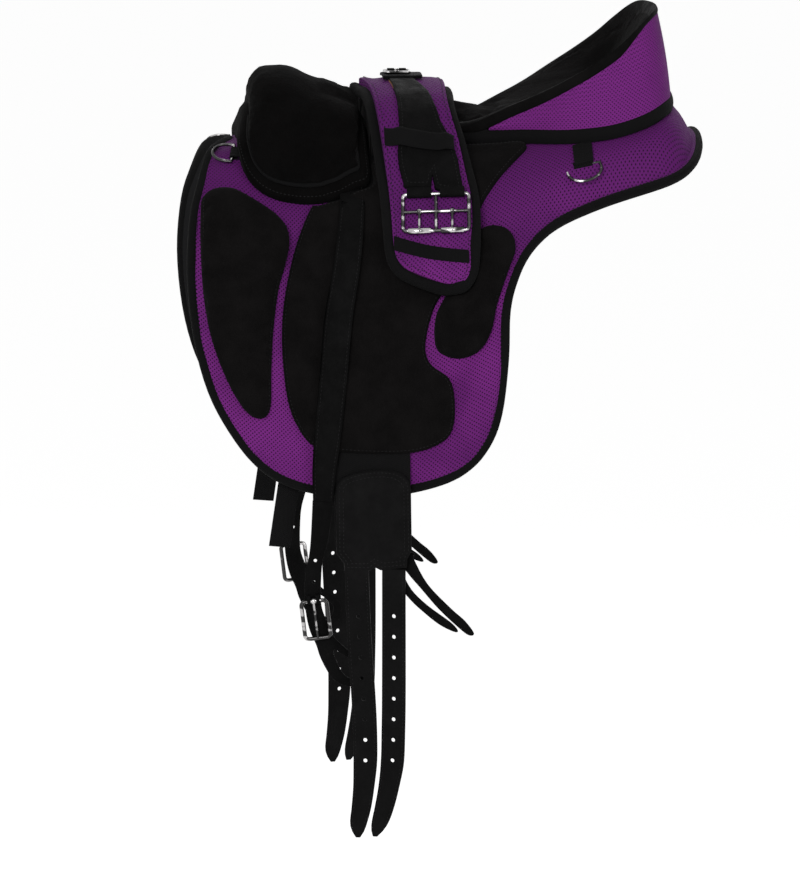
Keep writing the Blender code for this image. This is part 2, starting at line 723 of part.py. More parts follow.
def flat_piece(outline, thick, holes=()):
    """Flat piece from a filled outline, centred on its own plane."""
    curve = bpy.data.curves.new("outline", "CURVE")
    curve.dimensions = "2D"
    curve.fill_mode = "BOTH"
    curve.extrude = thick / 2
    for line in (outline, *holes):
        spline = curve.splines.new("POLY")
        spline.points.add(len(line) - 1)
        for place, (a, b) in zip(spline.points, line):
            place.co = (a, b, 0.0, 1.0)
        spline.use_cyclic_u = True
    item = bpy.data.objects.new("outline", curve)
    bpy.context.scene.collection.objects.link(item)
    return mesh_of(item)


def ring_of_points(a, b, radius, count=BAR_SIDES):
    return [(a + radius * math.cos(2 * math.pi * k / count),
             b + radius * math.sin(2 * math.pi * k / count)) for k in range(count)]


def rounded_box(width, height, corner, steps=2):
    """Corner-rounded rectangle about the origin."""
    points = []
    for turn, (sign_a, sign_b) in enumerate(((1, 1), (-1, 1), (-1, -1), (1, -1))):
        for step in range(steps + 1):
            angle = math.pi / 2 * (turn + step / steps)
            points.append((sign_a * (width / 2 - corner) + corner * math.cos(angle),
                           sign_b * (height / 2 - corner) + corner * math.sin(angle)))
    return points


def bar(start, end, radius, sides=BAR_SIDES):
    """Round bar between two points."""
    start, end = Vector(start), Vector(end)
    run = end - start
    bm = bmesh.new()
    bmesh.ops.create_cone(bm, cap_ends=True, segments=sides, radius1=radius, radius2=radius,
                          depth=run.length)
    turn = Vector((0.0, 0.0, 1.0)).rotation_difference(run.normalized()).to_matrix().to_4x4()
    bmesh.ops.transform(bm, matrix=Matrix.Translation((start + end) / 2) @ turn, verts=bm.verts[:])
    return bm


def block(low, high):
    bm = bmesh.new()
    low, high = Vector(low), Vector(high)
    size = high - low
    bmesh.ops.create_cube(bm, size=1.0)
    bmesh.ops.scale(bm, vec=size, verts=bm.verts[:])
    bmesh.ops.translate(bm, vec=(low + high) / 2, verts=bm.verts[:])
    return bm


def placed(bm, frame):
    """Solid moved into a frame, facing outward there."""
    bmesh.ops.transform(bm, matrix=frame, verts=bm.verts[:])
    bmesh.ops.recalc_face_normals(bm, faces=bm.faces[:])
    return bm


def hold(bm, name, collection):
    mesh = bpy.data.meshes.new(name)
    bm.to_mesh(mesh)
    bm.free()
    item = bpy.data.objects.new(name, mesh)
    collection.objects.link(item)
    return item


def combine(body, steps, collection):
    """Join or cut a solid with others, in order, and give the result as a mesh."""
    item = hold(body, "body", collection)
    tools = []
    for operation, tool in steps:
        cutter = hold(tool, "tool", collection)
        cutter.hide_render = True
        cutter.display_type = "WIRE"
        modifier = item.modifiers.new(operation, "BOOLEAN")
        modifier.operation = operation
        modifier.solver = "EXACT"
        modifier.object = cutter
        tools.append(cutter)
    bpy.context.view_layer.update()
    result = mesh_of(item)
    for cutter in tools:
        bpy.data.objects.remove(cutter, do_unlink=True)
    return result


# Panel

def make_panel(parts, looks):
    inner = inset_line(PANEL_OUTLINE, BINDING_WIDTH + FIT)
    rings = (EDGE_ROUND / 2,)
    sheet = sheet_of_cells(inner, (), X_LINES[::2], S_LINES[:1] + S_LINES[3:])
    solid, lining = lay_solid(sheet, lambda x, s: 0.0, lambda x, s, low: LINING_THICK)
    add_part(solid, "panel_lining", looks["lining"], parts)
    solid, _ = lay_solid(sheet_of_cells(inner, rings), lambda x, s: LINING_THICK + FIT,
                         lambda x, s, low: panel_thick(x, s) - COVER_THICK - GAP, [lining])
    add_part(solid, "panel_foam", looks["foam"], parts)
    solid, cover = lay_solid(sheet_of_cells(inner, rings),
                             lambda x, s: panel_thick(x, s) - COVER_THICK,
                             lambda x, s, low: low + COVER_THICK)
    add_part(solid, "panel_cover", looks["mesh"], parts)

    sheet = sheet_of_cells(PANEL_OUTLINE, (BINDING_WIDTH,), ring_only=True)
    solid, binding = lay_solid(sheet, lambda x, s: 0.0, lambda x, s, low: BINDING_THICK)
    add_part(solid, "panel_binding", looks["tape"], parts)
    return [cover, binding]


def make_web(parts, looks, layers):
    outline = [(WEB_FRONT, -WEB_DROP), (WEB_REAR, -WEB_DROP), (WEB_REAR, WEB_DROP),
               (WEB_FRONT, WEB_DROP)]
    solid, web = lay_solid(sheet_of_cells(outline),
                           lambda x, s: highest_lift(layers, x, s, FLAP_THICK) + FIT,
                           lambda x, s, low: low + WEB_THICK, layers)
    add_part(solid, "girth_web", looks["web"], parts)
    return web


# Pommel

POMMEL_HALF = smooth_line(
    from_shares(POMMEL_EDGE_SHARES, POMMEL_FRONT, POMMEL_REAR - POMMEL_FRONT, POMMEL_SKIRT), False)
POMMEL_OUTLINE = both_halves(POMMEL_HALF)
ROLL_OUTLINE = inset_line(POMMEL_OUTLINE, POMMEL_FLANGE)


def flange_thick(x, s):
    depth = edge_distance(x, s, POMMEL_OUTLINE)
    share = ease(abs(s) / POMMEL_SKIRT)
    full = FLANGE_SPINE_THICK + (FLANGE_EDGE_THICK - FLANGE_SPINE_THICK) * share
    return crown(depth, full / 2, full, POMMEL_FLANGE)


def roll_thick(x, s):
    depth = edge_distance(x, s, ROLL_OUTLINE)
    along = (x - POMMEL_FRONT) / (POMMEL_REAR - POMMEL_FRONT)
    spine = ROLL_SPINE_THICK * read_curve(ROLL_TOP_SHARES, along)
    full = spine + (ROLL_EDGE_THICK - spine) * ease(abs(s) / POMMEL_SKIRT)
    return crown(depth, min(ROLL_EDGE_THICK, full), full, ROLL_ROUND)


def make_pommel(parts, cutters, looks, layers):
    sheet = sheet_of_cells(POMMEL_OUTLINE, (POMMEL_FLANGE / 2,))
    solid, flange = lay_solid(sheet, lambda x, s: highest_lift(layers, x, s) + FIT,
                              lambda x, s, low: low + flange_thick(x, s), layers)
    loops = []
    bores = []
    for side, _ in SIDES:
        pieces, bore = ring_tab_solids(RING_TAB_WIDTH * FRONT_RING_SHARE)
        loops += [("UNION", placed(piece, front_ring_frame(side, layers))) for piece in pieces]
        bores.append(("DIFFERENCE", placed(bore, front_ring_frame(side, layers))))
    add_part(combine(solid, loops + bores, cutters), "pommel_flange", looks["suede"], parts)
    sheet = sheet_of_cells(ROLL_OUTLINE, (ROLL_ROUND / 3,))
    solid, roll = lay_solid(sheet, lambda x, s: highest_lift([flange], x, s) + FIT,
                            lambda x, s, low: low + roll_thick(x, s), [flange])
    add_part(solid, "pommel_roll", looks["suede"], parts)
    return [flange, roll]


# Seat

SEAT_FRONT = POMMEL_REAR + FIT
SEAT_LENGTH = SEAT_REAR - SEAT_FRONT
SEAT_SIDE = smooth_line(from_shares(SEAT_FOOT_SHARES, SEAT_FRONT, SEAT_LENGTH, SEAT_WIDE), False)
SEAT_OUTLINE = [(x, -s) for x, s in SEAT_SIDE] + [(x, s) for x, s in reversed(SEAT_SIDE[:-1])]
X_HALF_LINES = sorted(X_LINES + [x + PANEL_LENGTH / X_CELL_COUNT / 2 for x in X_LINES])


def seat_share(x):
    return (x - SEAT_FRONT) / SEAT_LENGTH


def seat_top(x, s, foot, sink=0.0):
    """Point on the dished seat above a place on its foot, sunk by a depth."""
    depth = edge_distance(x, abs(s), SEAT_SIDE, closed=False)
    lean = SEAT_LEAN * ease((x - SEAT_LEAN_START) / (SEAT_REAR - SEAT_LEAN_START))
    here = x - lean
    width = DISH_WIDTH * read_curve(DISH_SHARES, seat_share(x))
    slope = (1.0 - min(depth / width, 1.0)) ** DISH_POWER
    rim = CANTLE_HIGH * read_curve(SEAT_RIM_SHARES, seat_share(here))
    floor = CANTLE_HIGH * read_curve(SEAT_FLOOR_SHARES, seat_share(here))
    height = floor + (rim - floor) * slope
    narrow = 1.0 - SEAT_SIDE_LEAN / SEAT_WIDE
    return Vector((here, foot.y * narrow, height - sink))


def make_seat(parts, looks, layers):
    def foot(x, s):
        return on_back(x, s, highest_lift(layers, x, s) + FIT)

    def sink(x, s):
        """Depth of the cover, with the rim that hangs along its edge."""
        depth = edge_distance(x, abs(s), SEAT_SIDE, closed=False)
        rim = RIM_DROP * ease((x - RIM_START) / (GUSSET_START - RIM_START))
        return SEAT_SKIN + rim * (1.0 - ease(depth / RIM_WIDTH * 2 - 1.0))

    wall = SEAT_SKIN + 2 * WALL_FIT
    sheet = sheet_of_cells(inset_line(SEAT_OUTLINE, wall), (RIM_WIDTH - wall,), X_HALF_LINES)
    solid, _ = lay_solid(sheet, lambda x, s: highest_lift(layers, x, s) + FIT,
                         lambda x, s, low: seat_top(x, s, foot(x, s), sink(x, s) + FIT), layers)
    add_part(solid, "seat_foam", looks["foam"], parts)
    sheet = sheet_of_cells(SEAT_OUTLINE, (wall, RIM_WIDTH), X_HALF_LINES)
    solid, cover = lay_solid(sheet, lambda x, s: seat_top(x, s, foot(x, s), sink(x, s)),
                             lambda x, s, low: seat_top(x, s, foot(x, s)))
    add_part(solid, "seat_cover", looks["suede"], parts)

    def wall_place(x, s, share_of):
        lift = max(highest_lift(layers, x + k * WEB_MARGIN, s) for k in (-1, 0, 1))
        base = on_back(x, s, lift + FIT)
        top = seat_top(x, s, base)
        ceiling = top.z - sink(x, s) - WALL_FIT
        floor = base.z + WALL_FIT
        band = min(floor + SEAT_BAND, ceiling) if x > GUSSET_START else ceiling
        height = share_of(floor, band, ceiling)
        return base + (top - base) * ((height - base.z) / (top.z - base.z))

    def make_wall(name, look, start, low_of, high_of):
        outer = [place for place in SEAT_OUTLINE if place[0] > start]
        skin = [nearest_inset(place, SEAT_OUTLINE, SEAT_SKIN) for place in outer]
        rows = [[wall_place(*outer[i], low_of), wall_place(*outer[i], high_of),
                 wall_place(*skin[i], high_of), wall_place(*skin[i], low_of)]
                for i in range(len(outer))]
        add_part(loft(rows), name, looks[look], parts)

    make_wall("seat_band", "tape", SEAT_FRONT + SEAT_SKIN, lambda floor, band, ceiling: floor,
              lambda floor, band, ceiling: band)
    make_wall("cantle_gusset", "mesh", GUSSET_START, lambda floor, band, ceiling: band + FIT,
              lambda floor, band, ceiling: max(ceiling, band + 2 * FIT))
    return cover


def nearest_inset(place, outline, depth):
    """Place at a depth inside an outline, square to it at one of its points."""
    index = outline.index(place)
    before = Vector(outline[index - 1])
    after = Vector(outline[(index + 1) % len(outline)])
    run = (after - before).normalized()
    here = Vector(place) + Vector((-run.y, run.x)) * depth
    if edge_distance(here.x, abs(here.y), SEAT_SIDE, closed=False) < depth / 2 or here.x > SEAT_REAR:
        here = Vector(place) - Vector((-run.y, run.x)) * depth
    return here.x, here.y


def loft(rows):
    """Closed solid through rows of points that go round a section."""
    bm = bmesh.new()
    sections = [[bm.verts.new(point) for point in row] for row in rows]
    count = len(rows[0])
    for left, right in zip(sections, sections[1:]):
        for index in range(count):
            bm.faces.new((left[index - 1], left[index], right[index], right[index - 1]))
    bm.faces.new(sections[0])
    bm.faces.new(list(reversed(sections[-1])))
    bmesh.ops.triangulate(bm, faces=bm.faces[:])
    bmesh.ops.recalc_face_normals(bm, faces=bm.faces[:])
    return bm


# Padded suede pieces on the flap

def make_flap_piece(name, shares, sizes, side, material, parts, layers, rings):
    thick, edge, round_width = sizes
    outline = from_shares(shares, PANEL_FRONT, PANEL_LENGTH, side * FLAP_DROP)

    def high(x, s, low):
        return low + crown(edge_distance(x, s, outline), edge, thick, round_width)

    solid, layer = lay_solid(sheet_of_cells(outline, rings),
                             lambda x, s: highest_lift(layers, x, s) + FIT, high, layers)
    add_part(solid, name, material, parts)
    return layer


# Billet plate, billets, straps and ties

def make_plate(side, name, parts, looks, layers):
    outline = [(PLATE_FRONT + x * PLATE_WIDTH, side * (PLATE_TOP + s * PLATE_HEIGHT))
               for x, s in PLATE_SHARES]
    floor = FLAP_THICK + WEB_THICK + FIT
    solid, plate = lay_solid(sheet_of_cells(outline),
                             lambda x, s: highest_lift(layers, x, s, floor) + FIT,
                             lambda x, s, low: low + PLATE_THICK, layers)
    add_part(solid, "billet_plate_" + name, looks["leather"], parts)
    return plate


def billet_frame(side, place, plate):
    """Frame at the hinge line of a billet under its plate."""
    x = PLATE_FRONT + place * PLATE_WIDTH
    edge = side * (PLATE_TOP + PLATE_HEIGHT)
    low = highest_lift([plate], x, edge - side * SEAM) - PLATE_THICK
    frame = hanging_frame(x, edge, low + PLATE_THICK / 2)
    lowest = min(on_back(x + k * BILLET_WIDTH / 2, edge, low).z for k in (-1, 0, 1))
    frame.translation.z = lowest - BILLET_THICK / 2 - GAP
    return frame


def make_billet(side, name, billet, parts, cutters, looks, plate):
    label, place, bow = billet

    def centre(share):
        return BILLET_BOW * read_curve(bow, share)

    def half_width(share):
        return BILLET_WIDTH / 2 * read_curve(BILLET_TIP_SHARES, share)

    stations = sorted({share for share, _ in (*BILLET_TIP_SHARES, *bow)})
    left = [(centre(share) - half_width(share), -share * BILLET_LENGTH) for share in stations]
    right = [(centre(share) + half_width(share), -share * BILLET_LENGTH) for share in stations]
    holes = []
    for index in range(BILLET_HOLE_COUNT):
        down = BILLET_FIRST_HOLE + index * BILLET_HOLE_PITCH
        holes.append(ring_of_points(centre(down / BILLET_LENGTH), -down, BILLET_HOLE, BILLET_HOLE_SIDES))
    bm = flat_piece(left + right[::-1], BILLET_THICK, holes)
    half = BILLET_WIDTH / 2 - GAP
    root = bar((-half, 0.0, 0.0), (half, 0.0, 0.0), BILLET_THICK / 2 - GAP / 2)
    bm = combine(bm, [("UNION", root)], cutters)
    frame = billet_frame(side, place, plate)
    add_part(bm, "billet_" + label + "_" + name, looks["leather"], parts, frame.translation, frame)


def strap_edges(share):
    """Front and rear edges of the front strap at a share of its run."""
    reach = read_curve([(place, out) for place, out, _ in STRAP_SHARES], share)
    width = STRAP_WIDTH * read_curve([(place, wide) for place, _, wide in STRAP_SHARES], share)
    middle = STRAP_START_X - STRAP_REACH * reach
    return middle - width / 2, middle + width / 2


def make_front_strap(side, name, parts, looks, layers):
    stations = [share for share, _, _ in STRAP_SHARES]
    run = STRAP_LOW - STRAP_TOP
    front = [(strap_edges(share)[0], side * (STRAP_TOP + share * run)) for share in stations]
    rear = [(strap_edges(share)[1], side * (STRAP_TOP + share * run)) for share in stations]
    solid, layer = lay_solid(sheet_of_cells(front + rear[::-1]),
                             lambda x, s: highest_lift(layers, x, s, STRAP_BOTTOM_LIFT) + FIT,
                             lambda x, s, low: low + STRAP_THICK, layers)
    add_part(solid, "front_strap_" + name, looks["leather"], parts)
    return layer


def tail_frame(side):
    x = sum(strap_edges(1.0)) / 2
    s = STRAP_LOW + STRAP_THICK / 2 + 2 * FIT
    return hanging_frame(x, side * s, STRAP_BOTTOM_LIFT + FIT + STRAP_THICK / 2)


def strap_buckle_frame(side):
    """Frame of the small buckle, on the outer face of the tail."""
    frame = tail_frame(side)
    turn = Matrix.Rotation(STRAP_BUCKLE_TURN, 4, "Z")
    rise = STRAP_THICK / 2 + GAP + STRAP_BUCKLE_WIRE + FOLD_WALL / 2
    return frame @ Matrix.Translation((STRAP_BUCKLE_A, STRAP_BUCKLE_B, rise)) @ turn


def scaled(shares, size):
    return [(a * size, b * size) for a, b in shares]


def make_tail(side, name, parts, cutters, looks):
    frame = tail_frame(side)
    holes = [scaled(TAIL_OPENING_SHARES, TAIL_LENGTH)]
    holes += [ring_of_points(a, b, TAIL_HOLE) for a, b in scaled(TAIL_HOLES_SHARES, TAIL_LENGTH)]
    bm = flat_piece(scaled(TAIL_OUTLINE_SHARES, TAIL_LENGTH), STRAP_THICK, holes)
    reach = TAIL_OUTLINE_SHARES[-1][0] * TAIL_LENGTH - GAP
    root = bar((-reach, 0.0, 0.0), (reach, 0.0, 0.0), STRAP_THICK / 2 - GAP / 2)
    place = frame.inverted() @ strap_buckle_frame(side)
    fold, cuts = fold_solids(STRAP_BUCKLE_WIDTH / 2, STRAP_BUCKLE_WIRE, STRAP_BUCKLE_HEIGHT / 2, 0.0)
    steps = [("UNION", root), ("UNION", placed(fold, place))]
    steps += [("DIFFERENCE", placed(cut, place)) for cut in cuts]
    bm = combine(bm, steps, cutters)
    add_part(bm, "front_strap_tail_" + name, looks["leather"], parts, frame.translation, frame)
    frame = strap_buckle_frame(side)
    ring = wire([(a, b, 0.0) for a, b in rounded_box(STRAP_BUCKLE_WIDTH, STRAP_BUCKLE_HEIGHT,
                                                     BUCKLE_CORNER)], STRAP_BUCKLE_WIRE, True)
    add_part(ring, "strap_buckle_" + name, looks["steel"], parts, tail_frame(side).translation, frame)
    tongue_part(frame, STRAP_BUCKLE_HEIGHT / 2, STRAP_BUCKLE_HEIGHT, STRAP_BUCKLE_WIRE, 0.0, 0.0,
                "strap_tongue_" + name, parts, cutters, looks)


def tab_frame(side):
    return hanging_frame(TAB_X, side * TAB_S, -TAB_THICK / 2 - GAP)


def make_tab(side, name, parts, looks):
    half = TAB_WIDTH / 2
    outline = [(-half, 0.0), (half, 0.0), (half - TAB_LEAN, -TAB_LENGTH),
               (-half - TAB_LEAN, -TAB_LENGTH + TAB_THICK)]
    frame = tab_frame(side)
    add_part(flat_piece(outline, TAB_THICK), "webbing_tab_" + name, looks["web"], parts,
             frame.translation, frame)


def tie_frame(side, plate):
    lift = highest_lift([plate], TIE_X, side * TIE_S) - PLATE_THICK - TIE_THICK / 2 - FIT
    return hanging_frame(TIE_X, side * TIE_S, lift)


def make_tie(side, name, parts, looks, plate):
    frame = tie_frame(side, plate)
    add_part(flat_piece(scaled(TIE_SHARES, TIE_REACH), TIE_THICK), "tie_strap_" + name,
             looks["leather"], parts, frame.translation, frame)


# Buckles, tongues and rings

def fold_solids(width, wire_radius, bar_rise, place, slot=TONGUE_WIDTH):
    """Fold of leather round a bar, with its bore and the slot of the tongue."""
    bore = wire_radius + GAP
    wall = bore + FOLD_WALL
    half = width / 2
    low = -wire_radius - STRAP_THICK
    fold = block((place - half, bar_rise - wall, low), (place + half, bar_rise + wall, wall))
    cuts = [bar((place - width, bar_rise, 0.0), (place + width, bar_rise, 0.0), bore, BORE_SIDES)]
    if slot:
        room = slot / 2 + 2 * GAP
        cuts.append(block((place - room, bar_rise - 2 * wall, -bore - TONGUE_WALL - GAP),
                          (place + room, bar_rise + 2 * wall, 2 * wall)))
    return fold, cuts


def tongue_part(frame, bar_rise, reach, wire_radius, place, rest, name, parts, cutters, looks):
    """Tongue that turns on a bar and rests on the far side of its frame."""
    outer = wire_radius + GAP + TONGUE_WALL
    half = TONGUE_WIDTH / 2
    ring = bar((place - half, bar_rise, 0.0), (place + half, bar_rise, 0.0), outer, BORE_SIDES)
    top = wire_radius + rest + GAP + TONGUE_WIRE
    shaft = bar((place, bar_rise - outer / 2, outer / 2),
                (place, bar_rise - reach - wire_radius, top + GAP), TONGUE_WIRE, SHAFT_SIDES)
    bore = bar((place - TONGUE_WIDTH, bar_rise, 0.0), (place + TONGUE_WIDTH, bar_rise, 0.0),
               wire_radius + GAP, BORE_SIDES)
    bm = combine(ring, [("UNION", shaft), ("DIFFERENCE", bore)], cutters)
    pivot = frame @ Vector((place, bar_rise, 0.0))
    add_part(bm, name, looks["steel"], parts, pivot, frame)


def ring_points(share):
    return [(a * RING_WIDTH * share, b * RING_HEIGHT, 0.0) for a, b in RING_SHARES]


def ring_tab_solids(width):
    """Loop of webbing round the bar of a ring: its solids and its bore."""
    bore = RING_WIRE + GAP
    outer = bore + RING_TAB_WALL
    half = width / 2
    sleeve = bar((-half, 0.0, 0.0), (half, 0.0, 0.0), outer, SLEEVE_SIDES)
    low = -outer + GAP / 3
    flat = block((-half + GAP / 3, 0.0, low), (half - GAP / 3, RING_TAB_REACH, low + RING_TAB_THICK))
    return (sleeve, flat), bar((-width, 0.0, 0.0), (width, 0.0, 0.0), bore, BORE_SIDES)


def ring_rise():
    return RING_WIRE + 2 * GAP + RING_TAB_WALL


def front_ring_frame(side, layers):
    return resting_frame(FRONT_RING_X, side * FRONT_RING_S, RING_TAB_REACH / 2, RING_TAB_WIDTH / 2,
                         ring_rise(), FRONT_RING_TURN, layers)


def rear_ring_frame(side, layers):
    return resting_frame(REAR_RING_X, side * REAR_RING_S, RING_TAB_WIDTH / 2, RING_TAB_REACH,
                         ring_rise(), 0.0, layers)


def make_rings(side, name, parts, cutters, looks, layers):
    frame = front_ring_frame(side, layers)
    add_part(wire(ring_points(FRONT_RING_SHARE), RING_WIRE, True), "front_d_ring_" + name,
             looks["steel"], parts, frame.translation, frame)
    frame = rear_ring_frame(side, layers)
    add_part(wire(ring_points(1.0), RING_WIRE, True), "rear_d_ring_" + name, looks["steel"], parts,
             frame.translation, frame)
    (sleeve, flat), bore = ring_tab_solids(RING_TAB_WIDTH)
    solid = combine(sleeve, [("UNION", flat), ("DIFFERENCE", bore)], cutters)
    add_part(solid, "rear_ring_tab_" + name, looks["web"], parts, None, frame)


# Stirrup pad

PAD_OUTLINE = both_halves(from_shares(PAD_EDGE_SHARES, PAD_FRONT, PAD_WIDTH, PAD_DROP))
PAD_X_LINES = even_lines(PAD_FRONT, PAD_FRONT + PAD_WIDTH, PAD_WIDTH / PAD_X_CELL_COUNT)
PAD_S_LINES = [0.0] + [sign * share * PAD_DROP for share in PAD_S_LINE_SHARES for sign in (-1, 1)]


def pad_top(x, s):
    """Height of the pad's upper face over the back."""
    hump = SEAT_HUMP * (1.0 - ease((abs(s) - HUMP_START) / HUMP_RUN))
    depth = edge_distance(x, s, PAD_OUTLINE)
    return full_thick(x, s) + PAD_RISE + hump - PAD_EDGE_DROP + crown(depth, 0.0, PAD_EDGE_DROP, PAD_ROUND)


def make_pad(parts, looks, layers):
    def low(x, s):
        return max(highest_lift(layers, x, s) + FIT, pad_top(x, s) - PAD_THICK)

    def high(x, s, start):
        return max(pad_top(x, s), start + PAD_LEAST_THICK)

    inner = inset_line(PAD_OUTLINE, PAD_BINDING + FIT)
    solid, pad = lay_solid(sheet_of_cells(inner, (), PAD_X_LINES, PAD_S_LINES), low, high, layers)
    add_part(solid, "stirrup_pad", looks["mesh"], parts)
    sheet = sheet_of_cells(PAD_OUTLINE, (PAD_BINDING,), PAD_X_LINES, PAD_S_LINES, ring_only=True)
    solid, binding = lay_solid(sheet, low, high, layers)
    add_part(solid, "stirrup_pad_binding", looks["tape"], parts)
    return [pad, binding]


def buckle_frame(side, layers):
    """Frame of a double buckle on the pad."""
    rise = BUCKLE_WIRE + ROLLER_WALL + 3 * GAP
    return resting_frame(BUCKLE_X, side * BUCKLE_S, BUCKLE_WIDTH / 2, BUCKLE_HEIGHT / 2, rise,
                         BUCKLE_TURN, layers)


def make_hanger(parts, cutters, looks, layers, frames, top_frame):
    half = from_shares(HANGER_SHARES, HANGER_FRONT, HANGER_WIDTH, HANGER_DROP)
    solid, layer = lay_solid(sheet_of_cells(both_halves(half), (), PAD_X_LINES, PAD_S_LINES),
                             lambda x, s: highest_lift(layers, x, s) + FIT,
                             lambda x, s, low: low + HANGER_THICK, layers)
    folds = [(fold_solids(TOP_BUCKLE_WIDTH - 4 * TOP_BUCKLE_WIRE, TOP_BUCKLE_BAR, 0.0, 0.0),
              top_frame)]
    folds += [(buckle_fold(sign), frames[side]) for side, _ in SIDES for sign in (-1, 1)]
    steps = [("UNION", placed(fold, frame)) for (fold, _), frame in folds]
    steps += [("DIFFERENCE", placed(cut, frame)) for (_, cuts), frame in folds for cut in cuts]
    add_part(combine(solid, steps, cutters), "stirrup_strap", looks["leather"], parts)
    return layer


def buckle_fold(sign):
    """Fold of the strap's tail round the upper bar of one cell of a double buckle."""
    place = sign * BUCKLE_WIDTH / 4
    bore = BUCKLE_WIRE + GAP
    wall = bore + FOLD_WALL
    low = -BUCKLE_WIRE - ROLLER_WALL - 2 * GAP
    rise = BUCKLE_HEIGHT / 2
    half = FOLD_WIDTH / 2
    fold = block((place - half, rise - wall, low), (place + half, rise + FOLD_REACH, wall))
    return fold, [bar((place - FOLD_WIDTH, rise, 0.0), (place + FOLD_WIDTH, rise, 0.0), bore)]


def make_double_buckle(side, name, parts, cutters, looks, frame):
    half_width = BUCKLE_WIDTH / 2
    half_height = BUCKLE_HEIGHT / 2
    ring = wire([(a, b, 0.0) for a, b in rounded_box(BUCKLE_WIDTH, BUCKLE_HEIGHT, BUCKLE_CORNER)],
                BUCKLE_WIRE, True)
    divider = block((-BUCKLE_BAR, -half_height, -BUCKLE_BAR / 2), (BUCKLE_BAR, half_height, BUCKLE_BAR))
    middle = bar((-half_width, BUCKLE_BAR_RISE, 0.0), (half_width, BUCKLE_BAR_RISE, 0.0), BUCKLE_BAR,
                 BORE_SIDES)
    bm = combine(ring, [("UNION", divider), ("UNION", middle)], cutters)
    add_part(bm, "double_buckle_" + name, looks["steel"], parts, None, frame)
    for sign, label in ((-1, "front"), (1, "rear")):
        place = sign * BUCKLE_WIDTH / 4
        long_half = BUCKLE_WIDTH / 4 - BUCKLE_WIRE - BUCKLE_CORNER + 2 * GAP
        outer = BUCKLE_WIRE + GAP + ROLLER_WALL
        roller = bar((place - long_half, -half_height, 0.0), (place + long_half, -half_height, 0.0),
                     outer, BORE_SIDES)
        bore = bar((place - half_width, -half_height, 0.0), (place + half_width, -half_height, 0.0),
                   BUCKLE_WIRE + GAP, BORE_SIDES)
        bm = combine(roller, [("DIFFERENCE", bore)], cutters)
        pivot = frame @ Vector((place, -half_height, 0.0))
        add_part(bm, "roller_" + label + "_" + name, looks["steel"], parts, pivot, frame)
        tongue_part(frame, BUCKLE_BAR_RISE, half_height + BUCKLE_BAR_RISE, BUCKLE_BAR, place,
                    ROLLER_WALL + GAP, "tongue_" + label + "_" + name, parts, cutters, looks)


def top_buckle_frame(layers):
    """Frame of the small buckle that lies on the strap over the spine."""
    centre = on_back(TOP_BUCKLE_X, 0.0, highest_lift(layers, TOP_BUCKLE_X, 0.0))
    rise = HANGER_THICK + FIT + TOP_BUCKLE_WIRE + 3 * GAP
    return frame_matrix(Vector((1.0, 0.0, 0.0)), Vector((0.0, 1.0, 0.0)), Vector((0.0, 0.0, 1.0)),
                        centre + Vector((0.0, 0.0, rise)))


def make_top_buckle(parts, cutters, looks, frame):
    ring = wire([(a, b, 0.0) for a, b in rounded_box(TOP_BUCKLE_WIDTH, TOP_BUCKLE_HEIGHT,
                                                     BUCKLE_CORNER)], TOP_BUCKLE_WIRE, True)
    half = TOP_BUCKLE_WIDTH / 2
    middle = bar((-half, 0.0, 0.0), (half, 0.0, 0.0), TOP_BUCKLE_BAR)
    bm = combine(ring, [("UNION", middle)], cutters)
    add_part(bm, "top_buckle", looks["steel"], parts, None, frame)
    tongue_part(frame, 0.0, TOP_BUCKLE_HEIGHT / 2, TOP_BUCKLE_BAR, 0.0, 0.0, "top_tongue", parts,
                cutters, looks)


def make_keeper(side, name, keeper, parts, looks, layers):
    label, front_x, front_s, rear_x, rear_s = keeper
    half = KEEPER_HEIGHT / 2
    sheet = bmesh.new()
    rows = []
    for index in range(KEEPER_CELLS + 1):
        share = index / KEEPER_CELLS
        x = front_x + (rear_x - front_x) * share
        s = front_s + (rear_s - front_s) * share
        rows.append([sheet.verts.new((x, side * (s + edge), 0.0)) for edge in (-half, half)])
    for left, right in zip(rows, rows[1:]):
        sheet.faces.new((left[0], right[0], right[1], left[1]))
    split_quads(sheet)
    solid, _ = lay_solid(sheet, lambda x, s: highest_lift(layers, x, s) + FIT,
                         lambda x, s, low: low + KEEPER_THICK, layers)
    add_part(solid, label + "_keeper_" + name, looks["tape"], parts)


